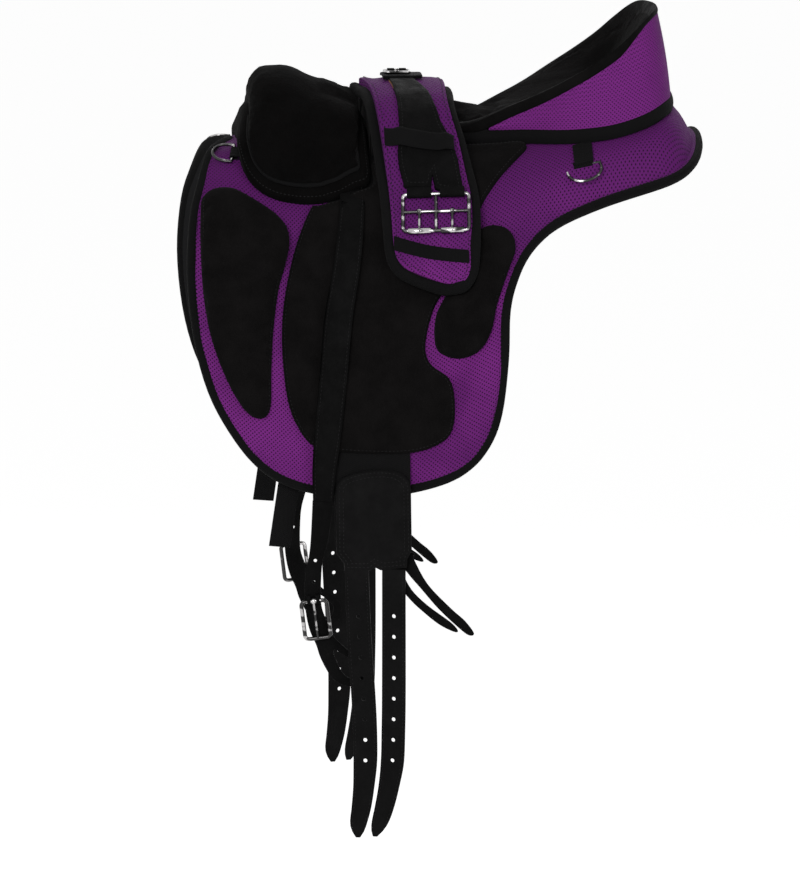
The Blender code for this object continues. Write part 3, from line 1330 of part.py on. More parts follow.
def main():
    clear_scene()
    parts = new_collection("treeless_saddle")
    cutters = new_collection("cutters")
    looks = {
        "mesh": surface("purple_air_mesh", (0.09, 0.012, 0.16), 0.75),
        "suede": surface("black_suede", (0.010, 0.010, 0.011), 0.95),
        "tape": surface("black_tape", (0.012, 0.012, 0.013), 0.8),
        "leather": surface("black_leather", (0.016, 0.016, 0.017), 0.5),
        "web": surface("black_webbing", (0.012, 0.012, 0.013), 0.85),
        "steel": surface("bright_steel", (0.62, 0.62, 0.64), 0.22, 1.0),
        "foam": surface("grey_foam", (0.30, 0.30, 0.31), 0.9),
        "lining": surface("black_lining", (0.02, 0.02, 0.022), 0.9),
    }
    panel = make_panel(parts, looks)
    web = make_web(parts, looks, panel)
    base = [*panel, web]
    pommel = make_pommel(parts, cutters, looks, base)
    seat = make_seat(parts, looks, base)
    suede = looks["suede"]
    block_rings = (KNEE_ROUND / 3,)
    patch_sizes = (PATCH_THICK, PATCH_EDGE, PATCH_ROUND)
    knee_sizes = (KNEE_THICK, KNEE_EDGE, KNEE_ROUND)
    thigh_sizes = (THIGH_THICK, KNEE_EDGE, KNEE_ROUND)
    ground = [*base, *pommel, seat]
    for side, name in SIDES:
        patch = make_flap_piece("centre_patch_" + name, PATCH_SHARES, patch_sizes, side, suede,
                                parts, base, (PATCH_ROUND,))
        make_flap_piece("knee_roll_" + name, KNEE_SHARES, knee_sizes, side, suede, parts, base,
                        block_rings)
        thigh = make_flap_piece("thigh_block_" + name, THIGH_SHARES, thigh_sizes, side, suede,
                                parts, base, block_rings)
        strap = make_front_strap(side, name, parts, looks, [*base, patch])
        ground += [patch, thigh, strap]
        make_tail(side, name, parts, cutters, looks)
        plate = make_plate(side, name, parts, looks, base)
        for billet in BILLETS:
            make_billet(side, name, billet, parts, cutters, looks, plate)
        make_tab(side, name, parts, looks)
        make_tie(side, name, parts, looks, plate)
        make_rings(side, name, parts, cutters, looks, base)
    pad = make_pad(parts, looks, ground)
    frames = {side: buckle_frame(side, pad) for side, _ in SIDES}
    top_frame = top_buckle_frame(pad)
    hanger = make_hanger(parts, cutters, looks, pad, frames, top_frame)
    make_top_buckle(parts, cutters, looks, top_frame)
    for side, name in SIDES:
        make_double_buckle(side, name, parts, cutters, looks, frames[side])
        for keeper in KEEPERS:
            make_keeper(side, name, keeper, parts, looks, [*pad, hanger])


main()
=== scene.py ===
import json
import math

import bmesh
import bpy
import numpy as np
from bpy.props import FloatProperty, FloatVectorProperty, IntProperty, PointerProperty
from mathutils import Matrix, Vector, noise
from mathutils.bvhtree import BVHTree


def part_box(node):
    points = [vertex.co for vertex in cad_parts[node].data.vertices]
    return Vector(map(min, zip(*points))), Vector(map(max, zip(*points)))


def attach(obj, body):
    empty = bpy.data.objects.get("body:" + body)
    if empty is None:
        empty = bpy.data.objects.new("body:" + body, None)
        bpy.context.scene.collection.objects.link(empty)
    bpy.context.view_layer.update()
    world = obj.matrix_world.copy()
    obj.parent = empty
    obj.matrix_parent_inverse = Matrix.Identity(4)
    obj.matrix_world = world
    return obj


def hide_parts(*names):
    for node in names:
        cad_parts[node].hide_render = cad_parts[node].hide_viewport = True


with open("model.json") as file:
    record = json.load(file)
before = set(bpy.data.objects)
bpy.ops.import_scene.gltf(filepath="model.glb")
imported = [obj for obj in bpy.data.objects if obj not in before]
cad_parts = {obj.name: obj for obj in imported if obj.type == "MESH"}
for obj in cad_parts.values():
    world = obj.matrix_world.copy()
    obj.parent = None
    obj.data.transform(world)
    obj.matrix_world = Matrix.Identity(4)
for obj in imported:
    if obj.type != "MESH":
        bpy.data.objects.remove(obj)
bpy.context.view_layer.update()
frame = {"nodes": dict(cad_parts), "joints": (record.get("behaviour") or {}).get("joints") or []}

bl_info = {
    "name": "Treeless saddle",
    "version": (1, 0, 0),
    "blender": (4, 5, 0),
    "location": "View3D > Sidebar > Saddle",
    "description": "Dresses the frame of a treeless saddle with mesh, suede, leather and steel",
    "category": "Object",
}

# Shape of the back under the saddle, as in the frame
PANEL_LENGTH = 0.560
PANEL_FRONT = -0.280
FLAP_DROP = 0.400
BACK_SLOPE = math.radians(82.0)
FRONT_TURN = 0.088
REAR_TURN = 0.400
TURN_START = -0.250
TURN_END = 0.220
SPINE_LOW_X = -0.020
FRONT_RISE = 0.030
FRONT_RISE_RUN = 0.215
REAR_RISE = 0.032
REAR_RISE_RUN = 0.290
BACK_STEPS = 10
FIT = 0.0006
GAP = 0.0003

# Panel
FLAP_THICK = 0.015
EDGE_THICK = 0.010
EDGE_ROUND = 0.030
BAR_THICKS = ((-0.160, 0.024), (-0.050, 0.044), (0.040, 0.044), (0.160, 0.050))
BAR_WIDTH = 0.080
BAR_FADE = 0.120
LINING_THICK = 0.0012
BINDING_WIDTH = 0.011
BINDING_OVERLAP = 0.55
BINDING_LIFT = 0.0055
BINDING_THICK = 0.0108
BINDING_SEAM = 0.82
BINDING_TOP = 0.0106
PANEL_RINGS = (0.0055, 0.0085, 0.0125)
PANEL_RIPPLES = (0.11, 0.0010, 3.0)
PANEL_EDGE_SHARES = (
    (0.084, 0.0), (0.066, 0.06), (0.044, 0.12), (0.024, 0.23), (0.007, 0.34), (0.0, 0.50),
    (0.011, 0.66), (0.036, 0.785), (0.074, 0.875), (0.125, 0.949), (0.19, 0.988),
    (0.30, 1.0), (0.42, 0.998), (0.505, 0.99), (0.553, 0.953), (0.581, 0.88), (0.597, 0.74),
    (0.604, 0.61), (0.621, 0.53), (0.65, 0.462), (0.70, 0.413), (0.78, 0.388), (0.88, 0.366),
    (0.94, 0.335), (0.975, 0.275), (0.994, 0.18), (1.0, 0.06), (1.0, 0.0))

# Girth web under the seat and down to the plate
WEB_FRONT = -0.127
WEB_REAR = -0.048
WEB_THICK = 0.0020
WEB_DROP = 0.452
WEB_RAMP = 0.008

# Pommel
POMMEL_REAR = -0.084
POMMEL_FRONT = -0.2215
POMMEL_SKIRT = 0.0995
POMMEL_FLANGE = 0.013
FLANGE_SPINE_THICK = 0.026
FLANGE_EDGE_THICK = 0.012
ROLL_SPINE_THICK = 0.049
ROLL_EDGE_THICK = 0.007
ROLL_ROUND = 0.022
ROLL_EDGE = 0.0015
FLANGE_RINGS = (0.001, 0.0025, 0.005, 0.0085, 0.0125)
ROLL_RINGS = (0.0007, 0.002, 0.004, 0.007, 0.011, 0.016, 0.022)

# Where the pommel stands prouder or lower than its solids: its brow, the room for the front rings,
# and the rear shoulder and front of its roll
BROW_RISE = 0.007
BROW_X = -0.185
BROW_RUN = 0.02
BROW_WIDTH = 0.028
RING_CALM = 0.040
RING_SINK = 0.0015
RING_TRIM = 0.0025
RING_TRIM_REACH = 0.025
TRIM_CENTRE = (-0.15, 0.0)
SHOULDER_FILL = 0.75
SHOULDER_X = -0.128
FRONT_FILL = 0.35
FRONT_FILL_X = -0.178
FILL_RUN = 0.030
FILL_WIDTH = 0.050
SHOULDER_PUSH = 0.007
PUSH_X = -0.112
PUSH_RUN = 0.014
ROLL_SINK = 0.0035
POMMEL_EDGE_SHARES = (
    (0.0, 0.0), (0.0, 0.22), (-0.02, 0.50), (0.01, 0.71), (0.07, 0.85), (0.16, 0.945),
    (0.28, 0.99), (0.42, 0.995), (0.58, 0.98), (0.75, 0.945), (0.88, 0.88), (1.0, 0.83),
    (1.0, 0.55), (1.0, 0.28), (1.0, 0.0))
ROLL_TOP_SHARES = ((0.0, 0.75), (0.13, 0.88), (0.265, 0.97), (0.425, 1.03), (0.57, 0.90),
                   (0.73, 0.69), (0.885, 0.49), (1.0, 0.40))

# Seat
SEAT_REAR = 0.2500
SEAT_WIDE = 0.0995
SEAT_BAND = 0.0150
SEAT_SKIN = 0.0025
SEAT_RINGS = (0.004, 0.008, 0.012)
RIM_SINK = 0.0012
RIM_PUFF = 0.0012
RIM_PROUD = 0.0004
RIM_FALL = 0.0010
RIM_BELLY = 0.0010
RIM_UNDER = 0.003
RIM_BACK = 0.0022
WALL_GAP = 0.0029
FOOT_GAP = 0.0012
WALL_THICK = 0.0024
WALL_PUFFS = {True: (0.0016, 0.0), False: (0.0022, 0.0004)}
RIM_DROP = 0.0090
RIM_WIDTH = 0.0105
RIM_START = 0.000
GUSSET_START = 0.046
CANTLE_HIGH = 0.1790
SEAT_LEAN = 0.018
SEAT_LEAN_START = 0.150
SEAT_SIDE_LEAN = 0.006
DISH_WIDTH = 0.090
DISH_POWER = 1.25
SEAT_FOOT_SHARES = (
    (0.0, 0.55), (0.16, 0.49), (0.29, 0.467), (0.36, 0.516), (0.49, 0.655), (0.63, 0.90),
    (0.755, 1.0), (0.86, 0.972), (0.935, 0.848), (0.980, 0.618), (0.998, 0.222), (1.0, 0.0))
SEAT_RIM_SHARES = (
    (0.0, 0.285), (0.16, 0.280), (0.27, 0.282), (0.33, 0.305), (0.38, 0.345), (0.45, 0.412),
    (0.55, 0.502), (0.63, 0.587), (0.72, 0.688), (0.79, 0.780), (0.85, 0.880), (0.91, 0.975),
    (0.95, 1.0), (1.0, 1.0))
SEAT_FLOOR_SHARES = (
    (0.0, 0.465), (0.10, 0.455), (0.20, 0.430), (0.30, 0.402), (0.40, 0.372), (0.50, 0.372),
    (0.60, 0.400), (0.70, 0.445), (0.80, 0.450), (0.90, 0.450), (1.0, 0.450))
DISH_SHARES = ((0.0, 0.55), (0.28, 0.52), (0.45, 0.80), (0.58, 1.0), (1.0, 1.0))

# Suede pieces on the flap, with sizes of (thickness, edge, width of the rounding)
PATCH_SIZES = (0.0060, 0.0020, 0.007)
PATCH_SHARES = (
    (0.238, 0.256), (0.213, 0.335), (0.195, 0.42), (0.181, 0.527), (0.178, 0.632), (0.187, 0.76),
    (0.209, 0.834), (0.243, 0.874), (0.333, 0.883), (0.421, 0.893), (0.469, 0.886),
    (0.491, 0.862), (0.497, 0.80), (0.489, 0.728), (0.456, 0.676), (0.446, 0.634),
    (0.451, 0.583), (0.466, 0.524), (0.487, 0.487), (0.533, 0.390), (0.549, 0.342),
    (0.562, 0.308), (0.589, 0.268), (0.619, 0.232), (0.650, 0.192), (0.644, 0.160),
    (0.600, 0.143), (0.565, 0.133), (0.520, 0.124), (0.450, 0.134),
    (0.400, 0.142), (0.357, 0.152), (0.357, 0.210), (0.325, 0.222), (0.290, 0.239),
    (0.252, 0.248))
KNEE_SIZES = (0.0180, 0.0025, 0.024)
KNEE_SHARES = (
    (0.033, 0.276), (0.056, 0.254), (0.095, 0.252), (0.145, 0.274), (0.186, 0.306),
    (0.196, 0.345), (0.187, 0.408), (0.173, 0.476), (0.162, 0.583), (0.157, 0.690),
    (0.155, 0.781), (0.143, 0.818), (0.115, 0.820), (0.087, 0.778), (0.061, 0.709),
    (0.041, 0.627), (0.030, 0.528), (0.027, 0.426), (0.028, 0.336))
THIGH_SIZES = (0.0120, 0.0025, 0.024)
THIGH_SHARES = (
    (0.547, 0.377), (0.583, 0.376), (0.612, 0.408), (0.618, 0.448), (0.604, 0.495),
    (0.580, 0.576), (0.566, 0.647), (0.543, 0.684), (0.507, 0.683), (0.472, 0.650),
    (0.463, 0.608), (0.468, 0.548), (0.487, 0.505), (0.515, 0.448))

SUEDE_SEAM = 0.0028

# Seams sewn across the centre patch, as lines of (x, s) on the near flap
SEAM_LINES = (
    ((-0.196, 0.205), (-0.168, 0.222), (-0.150, 0.232)),
    ((-0.196, 0.262), (-0.168, 0.262)),
    ((-0.122, 0.200), (-0.098, 0.192), (-0.086, 0.184)),
    ((-0.128, 0.258), (-0.080, 0.258), (-0.066, 0.246), (-0.052, 0.246)))
SEAM_DEPTH = 0.0022
SEAM_WIDTH = 0.0045

# Leather that hides the seam above what hangs
LIP = 0.0026

# Billet plate and billets
PLATE_TOP = 0.3705
PLATE_FRONT = -0.1260
PLATE_WIDTH = 0.0780
PLATE_HEIGHT = 0.1030
PLATE_THICK = 0.0050
PLATE_SHARES = (
    (0.0, 0.24), (0.01, 0.16), (0.08, 0.09), (0.20, 0.045), (0.36, 0.012), (0.50, 0.0),
    (0.64, 0.005), (0.80, 0.03), (0.92, 0.09), (0.985, 0.16), (1.0, 0.24), (1.0, 0.86),
    (0.94, 0.94), (0.935, 1.0), (0.590, 1.0), (0.51, 0.965), (0.435, 1.0), (0.105, 1.0),
    (0.10, 0.955), (0.0, 0.86))
BILLET_WIDTH = 0.0254
BILLET_THICK = 0.0032
BILLET_LENGTH = 0.288
BILLET_BOW = 0.009
BILLET_HOLE = 0.0022
BILLET_HOLE_COUNT = 8
BILLET_HOLE_PITCH = 0.0222
BILLET_FIRST_HOLE = 0.049
BILLETS = (
    ("front", ((0.0, 0.0), (0.14, 0.14), (0.30, 0.40), (0.45, 0.73), (0.57, 0.93),
               (0.70, 1.0), (0.81, 0.80), (0.89, 0.50), (0.95, 0.16), (1.0, 0.12))),
    ("rear", ((0.0, 0.0), (0.45, 0.0), (0.60, -0.06), (0.72, -0.19), (0.81, -0.62),
              (0.89, -1.18), (0.95, -1.74), (1.0, -2.3))))
BILLET_TIP_SHARES = ((0.0, 1.0), (0.70, 1.0), (0.81, 0.89), (0.89, 0.82), (0.95, 0.70),
                     (0.985, 0.42), (1.0, 0.18))

# Front strap, its tail, the webbing tab and the tie strap
STRAP_THICK = 0.0028
STRAP_WIDTH = 0.0300
STRAP_START_X = -0.1030
STRAP_REACH = 0.0360
STRAP_TOP = 0.1010
STRAP_LOW = 0.4030
STRAP_SHARES = (
    (0.0, 0.0, 0.88), (0.20, 0.22, 0.96), (0.38, 0.50, 1.0), (0.61, 0.70, 0.97),
    (0.80, 0.88, 0.92), (0.90, 0.97, 0.84), (1.0, 1.0, 0.73))
TAIL_LENGTH = 0.200
TAIL_OUTLINE_SHARES = (
    (-0.057, 0.0), (-0.067, -0.20), (-0.078, -0.30), (-0.096, -0.38), (-0.100, -0.52),
    (-0.090, -0.62), (-0.070, -0.70), (-0.039, -0.77), (-0.020, -0.83), (0.014, -0.90),
    (0.047, -0.948), (0.092, -0.98), (0.137, -0.992), (0.180, -0.985), (0.213, -0.95),
    (0.220, -0.89), (0.185, -0.835), (0.129, -0.796), (0.054, -0.724), (0.030, -0.67),
    (-0.006, -0.58), (-0.014, -0.50), (-0.010, -0.37), (0.0, -0.30), (0.026, -0.20),
    (0.056, 0.0))
TAIL_OPENING_SHARES = (
    (0.050, -0.797), (0.092, -0.905), (0.137, -0.948), (0.170, -0.935), (0.176, -0.89),
    (0.150, -0.855), (0.110, -0.825))
TAIL_HOLE = 0.0018
TAIL_HOLES_SHARES = ((-0.043, -0.315), (-0.052, -0.43))
STRAP_BUCKLE_WIDTH = 0.0270
STRAP_BUCKLE_HEIGHT = 0.0400
STRAP_BUCKLE_WIRE = 0.0016
TAB_WIDTH = 0.0230
TAB_LENGTH = 0.0760
TAB_LEAN = 0.0110
TAB_THICK = 0.0020
TAB_ROUNDING = 0.8
TIE_THICK = 0.0026
TIE_REACH = 0.1080
TIE_SHARES = (
    (0.0, 0.0), (0.39, 0.0), (0.40, -0.06), (0.54, -0.31), (0.77, -0.54), (0.91, -0.66),
    (1.0, -0.78), (0.95, -0.80), (0.85, -0.73), (0.65, -0.55), (0.48, -0.36), (0.38, -0.25),
    (0.31, -0.17), (0.29, -0.20), (0.38, -0.37), (0.54, -0.52), (0.77, -0.68), (0.84, -0.76),
    (0.80, -0.77), (0.65, -0.70), (0.48, -0.57), (0.37, -0.47), (0.26, -0.34), (0.15, -0.18),
    (0.04, -0.04))

# Rings and buckles
RING_WIRE = 0.0016
RING_WIDTH = 0.0360
RING_HEIGHT = 0.0215
FRONT_RING_SHARE = 0.80
FRONT_RING_X = -0.2275
FRONT_RING_S = 0.0560
REAR_RING_X = 0.1420
REAR_RING_S = 0.1180
RING_TAB_WIDTH = 0.0200
RING_TAB_WALL = 0.0011
RING_TAB_REACH = 0.0130
RING_TAB_THICK = 0.0022
RING_SHARES = (
    (-0.42, 0.0), (0.42, 0.0), (0.5, -0.10), (0.5, -0.36), (0.43, -0.66), (0.26, -0.90),
    (0.0, -1.0), (-0.26, -0.90), (-0.43, -0.66), (-0.5, -0.36), (-0.5, -0.10))
BUCKLE_WIDTH = 0.0700
BUCKLE_HEIGHT = 0.0400
BUCKLE_WIRE = 0.0020
BUCKLE_BAR = 0.0017
BUCKLE_CORNER = 0.0040
BUCKLE_BAR_RISE = 0.0010
ROLLER_WALL = 0.0011
TONGUE_WIDTH = 0.0042
TONGUE_WALL = 0.0014
TONGUE_WIRE = 0.0013
TONGUE_TAPER = ((0.0, 1.0), (0.6, 1.0), (0.88, 0.85), (0.97, 0.62), (1.0, 0.25))
FOLD_WIDTH = 0.0260
FOLD_WALL = 0.0014
FOLD_REACH = 1.9
FOLD_PINCH = 0.55
TOP_BUCKLE_WIDTH = 0.0260
TOP_BUCKLE_HEIGHT = 0.0240
TOP_BUCKLE_WIRE = 0.0015
TOP_BUCKLE_BAR = 0.0013

# Stirrup pad, the strap over it and its keepers
PAD_BINDING = 0.010
PAD_EDGE_THICK = 0.0125
PAD_RINGS = (0.002, 0.005, 0.010)
PAD_RIPPLES = (0.045, 0.0012, 5.0)
PAD_PUFF = 0.0008
PAD_RISE = 0.006
PAD_RISE_X = -0.068
PAD_RISE_RUN = 0.025
PAD_RISE_WIDTH = 0.060

# How far round a place the heights of the stirrup pad are averaged
PAD_BLUR = 0.005
EDGE_BLUR = 0.003
HANGER_BLUR = 0.004
KEEPER_BLUR = 0.002
PAD_FRONT = -0.0985
PAD_WIDTH = 0.1285
PAD_DROP = 0.2105
PAD_EDGE_SHARES = (
    (0.0, 0.0), (0.035, 0.035), (0.085, 0.10), (0.113, 0.209), (0.144, 0.318), (0.183, 0.494),
    (0.198, 0.613), (0.212, 0.717), (0.249, 0.789), (0.339, 0.85), (0.486, 0.903),
    (0.611, 0.95), (0.704, 0.979), (0.837, 1.0), (0.914, 0.979), (0.969, 0.917),
    (0.992, 0.784), (1.0, 0.608), (0.961, 0.468), (0.914, 0.342), (0.868, 0.252),
    (0.848, 0.176), (0.858, 0.08), (0.86, 0.0))
HANGER_THICK = 0.0040
HANGER_FRONT = -0.0600
HANGER_WIDTH = 0.0730
HANGER_DROP = 0.1220
HANGER_SHARES = (
    (0.0, 0.0), (0.06, 0.16), (0.10, 0.32), (0.10, 0.48), (0.06, 0.63), (0.08, 0.72),
    (0.13, 0.81), (0.135, 0.845), (0.53, 0.885), (0.55, 0.80), (0.585, 0.905), (1.0, 1.0),
    (0.965, 0.88), (0.93, 0.74), (0.86, 0.63), (0.71, 0.50), (0.58, 0.28), (0.43, 0.12),
    (0.36, 0.0))
KEEPER_THICK = 0.0015
KEEPER_HEIGHT = 0.0125
KEEPERS = (("upper", -0.0690, 0.0640, 0.0045, 0.0800), ("lower", -0.0620, 0.1470, 0.0160, 0.1790))

# Strip that lies across the stirrup strap over the spine
CREST_STRIP = ((-0.0635, -0.010), (-0.0205, -0.010), (-0.0205, 0.010), (-0.0635, 0.010))
CREST_STRIP_THICK = 0.0034

# Height of threads over what they are sewn on
THREAD_LIFT = 0.0002

# How far above and below the back a solid's faces are looked for
RAY_TOP = 0.150
RAY_BOTTOM = -0.010

# Places on the stirrup strap, from and to the spine, where its cut edge is raw
RAW_EDGE = (0.009, 0.024)

# Stage: the camera of the photograph, the floor and, for each lamp, its place, aim, width and power
CAMERA_AZIMUTH = -4.5
CAMERA_ELEVATION = 8.5
CAMERA_DISTANCE = 6.5
CAMERA_LENS = 270.45
CAMERA_AIM = (-0.04645, -0.03884, -0.28346)
FLOOR_Z = -1.30
FLOOR_GLOW = 0.66
WORLD_LIGHT = 0.40
LAMPS = (
    ("key_lamp", (-1.1, -3.2, 1.1), (0.0, 0.0, -0.2), 1.5, 62.0),
    ("fill_lamp", (2.4, -2.6, 0.8), (0.0, 0.0, -0.3), 2.0, 26.0),
    ("back_lamp", (0.6, 2.8, 2.2), (0.0, 0.0, -0.1), 1.8, 20.0))

# Distance between the cuts across a strap
STRAP_STEP = 0.0105

# Distances between the points of outlines, and between the cells of hard pieces
OUTLINE_PITCH = 0.004
FINE_PITCH = 0.0028
HARD_CELL = 0.006

# Share of its depth that a point of an inset line has to keep
INSET_SHARE = 0.97

# Cloth run that puffs the padding out
SWELL_SETTINGS = {"quality": 6, "mass": 0.12, "use_pressure": True, "uniform_pressure_force": 4.0,
                  "shrink_min": -0.05, "vertex_group_mass": "sewn"}
SWELL_FRAMES = 20
ROLL_SWELL = 0.004
PADDING_SWELL = 0.003

# Depths of the rings of cells along the edge of a piece of leather
LEATHER_RINGS = (0.0004, 0.0010, 0.0019)
LEATHER_CROWN = 0.0018

SIDES = ((-1, "near"), (1, "off"))
JOINTS = {joint["child"]: joint for joint in frame["joints"]}


def ease(value):
    share = np.clip(value, 0.0, 1.0)
    return share * share * (3.0 - 2.0 * share)


def read_curve(stations, place):
    """Heights at places on the smooth curve through (place, height) stations."""
    xs, ys = np.array(stations).T
    inner = (ys[2:] - ys[:-2]) / (xs[2:] - xs[:-2])
    ends = np.diff(ys) / np.diff(xs)
    rise = np.concatenate([ends[:1], inner, ends[-1:]])
    place = np.clip(np.asarray(place, float), xs[0], xs[-1])
    index = np.clip(np.searchsorted(xs, place) - 1, 0, len(xs) - 2)
    span = xs[index + 1] - xs[index]
    t = (place - xs[index]) / span
    return (ys[index] * (2 * t ** 3 - 3 * t ** 2 + 1) + rise[index] * span * (t ** 3 - 2 * t ** 2 + t)
            + ys[index + 1] * (3 * t ** 2 - 2 * t ** 3) + rise[index + 1] * span * (t ** 3 - t ** 2))


# The back, in arrays

def back_turn(x):
    share = ease((x - TURN_START) / (TURN_END - TURN_START)) ** 2
    return FRONT_TURN * (REAR_TURN / FRONT_TURN) ** share


def spine_height(x):
    front = FRONT_RISE * (np.minimum(x - SPINE_LOW_X, 0.0) / FRONT_RISE_RUN) ** 2
    return front + REAR_RISE * (np.maximum(x - SPINE_LOW_X, 0.0) / REAR_RISE_RUN) ** 2


def back_angle(x, s):
    return BACK_SLOPE * (1.0 - np.exp(-np.abs(s) / back_turn(x)))


def on_back(x, s, lift):
    """Points over the back at distances s from the spine, lifted square to the back."""
    x, s, lift = np.broadcast_arrays(*(np.asarray(v, float) for v in (x, s, lift)))
    step = np.abs(s) / BACK_STEPS
    out, drop = np.zeros(x.shape), np.zeros(x.shape)
    for index in range(BACK_STEPS):
        angle = back_angle(x, (index + 0.5) * step)
        out += np.cos(angle) * step
        drop += np.sin(angle) * step
    angle = back_angle(x, s)
    out = out + lift * np.sin(angle)
    return np.stack([x, np.where(s < 0, -out, out),
                     spine_height(x) - drop + lift * np.cos(angle)], axis=-1)


def outward(x, s):
    angle = back_angle(x, s)
    return np.stack([np.zeros(np.shape(x)), np.sign(s) * np.sin(angle), np.cos(angle)], axis=-1)


# Outlines in the (x, s) plane

def from_shares(shares, front, length, drop):
    return [(front + x * length, s * drop) for x, s in shares]


def smooth_line(points, closed, steps=4):
    count = len(points)
    spans = count if closed else count - 1
    line = []
    for index in range(spans):
        ends = [points[(index + k) % count] if closed else points[min(max(index + k, 0), count - 1)]
                for k in (-1, 0, 1, 2)]
        for step in range(steps):
            t = step / steps
            line.append(tuple(
                0.5 * (2 * b + (c - a) * t + (2 * a - 5 * b + 4 * c - d) * t * t
                       + (3 * b - a - 3 * c + d) * t ** 3)
                for a, b, c, d in zip(*ends)))
    if not closed:
        line.append(tuple(points[-1]))
    return line


def both_halves(half):
    return [(x, -s) for x, s in half] + [(x, s) for x, s in reversed(half[1:-1])]


def even_line(points, pitch, closed=True):
    """Points at an even pitch along a line."""
    line = np.array(points, float)
    if closed:
        line = np.vstack([line, line[:1]])
    runs = np.linalg.norm(np.diff(line, axis=0), axis=1)
    along = np.concatenate([[0.0], np.cumsum(runs)])
    count = max(int(round(along[-1] / pitch)), 3)
    spots = np.linspace(0.0, along[-1], count + 1)
    line = np.stack([np.interp(spots, along, values) for values in line.T], axis=1)
    return line[:-1] if closed else line


def edge_depth(x, s, outline, closed=True):
    """Distance to an outline, negative outside it."""
    line = np.array(outline, float)
    start = line if closed else line[:-1]
    end = np.roll(line, -1, axis=0) if closed else line[1:]
    x, s = np.asarray(x, float).ravel(), np.asarray(s, float).ravel()
    run = end - start
    size = np.maximum((run ** 2).sum(1), 1e-12)
    depth = np.empty(len(x))
    for first in range(0, len(x), 4096):
        px, ps = x[first:first + 4096, None], s[first:first + 4096, None]
        share = np.clip(((px - start[:, 0]) * run[:, 0] + (ps - start[:, 1]) * run[:, 1]) / size, 0, 1)
        gap = np.hypot(start[:, 0] + share * run[:, 0] - px, start[:, 1] + share * run[:, 1] - ps)
        nearest = gap.min(1)
        if closed:
            over = (start[:, 1] > ps) != (end[:, 1] > ps)
            rise = np.where(run[:, 1] == 0, 1e-12, run[:, 1])
            cross = over & (px < start[:, 0] + (ps - start[:, 1]) * run[:, 0] / rise)
            nearest = np.where(cross.sum(1) % 2 == 1, nearest, -nearest)
        depth[first:first + 4096] = nearest
    return depth


def unit(rows):
    return rows / np.maximum(np.linalg.norm(rows, axis=1), 1e-9)[:, None]


def inward_of(line, ahead):
    """Ways into a closed line, square to the ways along it."""
    area = (np.roll(line[:, 0], 1) * line[:, 1] - line[:, 0] * np.roll(line[:, 1], 1)).sum()
    return np.stack([-ahead[:, 1], ahead[:, 0]], axis=1) * np.sign(area)


def inset_line(outline, depth):
    """Closed outline moved inward, without the points that its bends overrun."""
    line = np.array(outline, float)
    first = unit(line - np.roll(line, 1, axis=0))
    second = unit(np.roll(line, -1, axis=0) - line)
    normal = inward_of(line, unit(first + second))
    turn = np.maximum(np.sqrt(0.5 * (1.0 + (first * second).sum(1))), 0.5)
    moved = line + normal * (depth / turn)[:, None]
    return moved[edge_depth(moved[:, 0], moved[:, 1], line) > depth * INSET_SHARE]


PANEL_OUTLINE = even_line(smooth_line(both_halves(
    from_shares(PANEL_EDGE_SHARES, PANEL_FRONT, PANEL_LENGTH, FLAP_DROP)), True), 0.006)
POMMEL_OUTLINE = even_line(both_halves(smooth_line(from_shares(
    POMMEL_EDGE_SHARES, POMMEL_FRONT, POMMEL_REAR - POMMEL_FRONT, POMMEL_SKIRT), False)), OUTLINE_PITCH)
ROLL_OUTLINE = inset_line(POMMEL_OUTLINE, POMMEL_FLANGE)
SEAT_FRONT = POMMEL_REAR + FIT
SEAT_LENGTH = SEAT_REAR - SEAT_FRONT
SEAT_SIDE = smooth_line(from_shares(SEAT_FOOT_SHARES, SEAT_FRONT, SEAT_LENGTH, SEAT_WIDE), False)
SEAT_ROUND = [(x, -s) for x, s in SEAT_SIDE] + [(x, s) for x, s in reversed(SEAT_SIDE[:-1])]
PAD_OUTLINE = even_line(smooth_line(both_halves(
    from_shares(PAD_EDGE_SHARES, PAD_FRONT, PAD_WIDTH, PAD_DROP)), True), OUTLINE_PITCH)


def flap_outline(shares, side):
    line = smooth_line(from_shares(shares, PANEL_FRONT, PANEL_LENGTH, side * FLAP_DROP), True)
    return even_line(line, OUTLINE_PITCH)


# Heights over the back

def full_thick(x, s):
    bar = BAR_THICKS[0][1]
    for (x0, low), (x1, high) in zip(BAR_THICKS, BAR_THICKS[1:]):
        bar = bar + (high - low) * ease((x - x0) / (x1 - x0))
    fade = 1.0 - ease((np.abs(s) - BAR_WIDTH) / BAR_FADE)
    return FLAP_THICK + (bar - FLAP_THICK) * fade


def panel_top(x, s):
    depth = edge_depth(x, s, PANEL_OUTLINE).reshape(np.shape(x))
    share = ease((depth - BINDING_WIDTH) / EDGE_ROUND)
    return EDGE_THICK + (full_thick(x, s) - EDGE_THICK) * share ** 0.5


def base_top(x, s):
    """Top of the panel with the girth web on it."""
    over = ease((x - WEB_FRONT) / WEB_RAMP + 1.0) * ease((WEB_REAR - x) / WEB_RAMP + 1.0)
    floor = np.where(np.abs(s) > FLAP_DROP * 0.95, FLAP_THICK - 0.002, 0.0)
    return np.maximum(panel_top(x, s), floor) + over * (WEB_THICK + FIT)


def crown(depth, edge, thick, width):
    share = np.clip(depth / width, 0.0, 1.0)
    return edge + (thick - edge) * np.sqrt(1.0 - (1.0 - share) ** 2)


def flange_thick(s, depth):
    full = FLANGE_SPINE_THICK + (FLANGE_EDGE_THICK - FLANGE_SPINE_THICK) * ease(np.abs(s) / POMMEL_SKIRT)
    return crown(depth, full * 0.35, full, POMMEL_FLANGE)


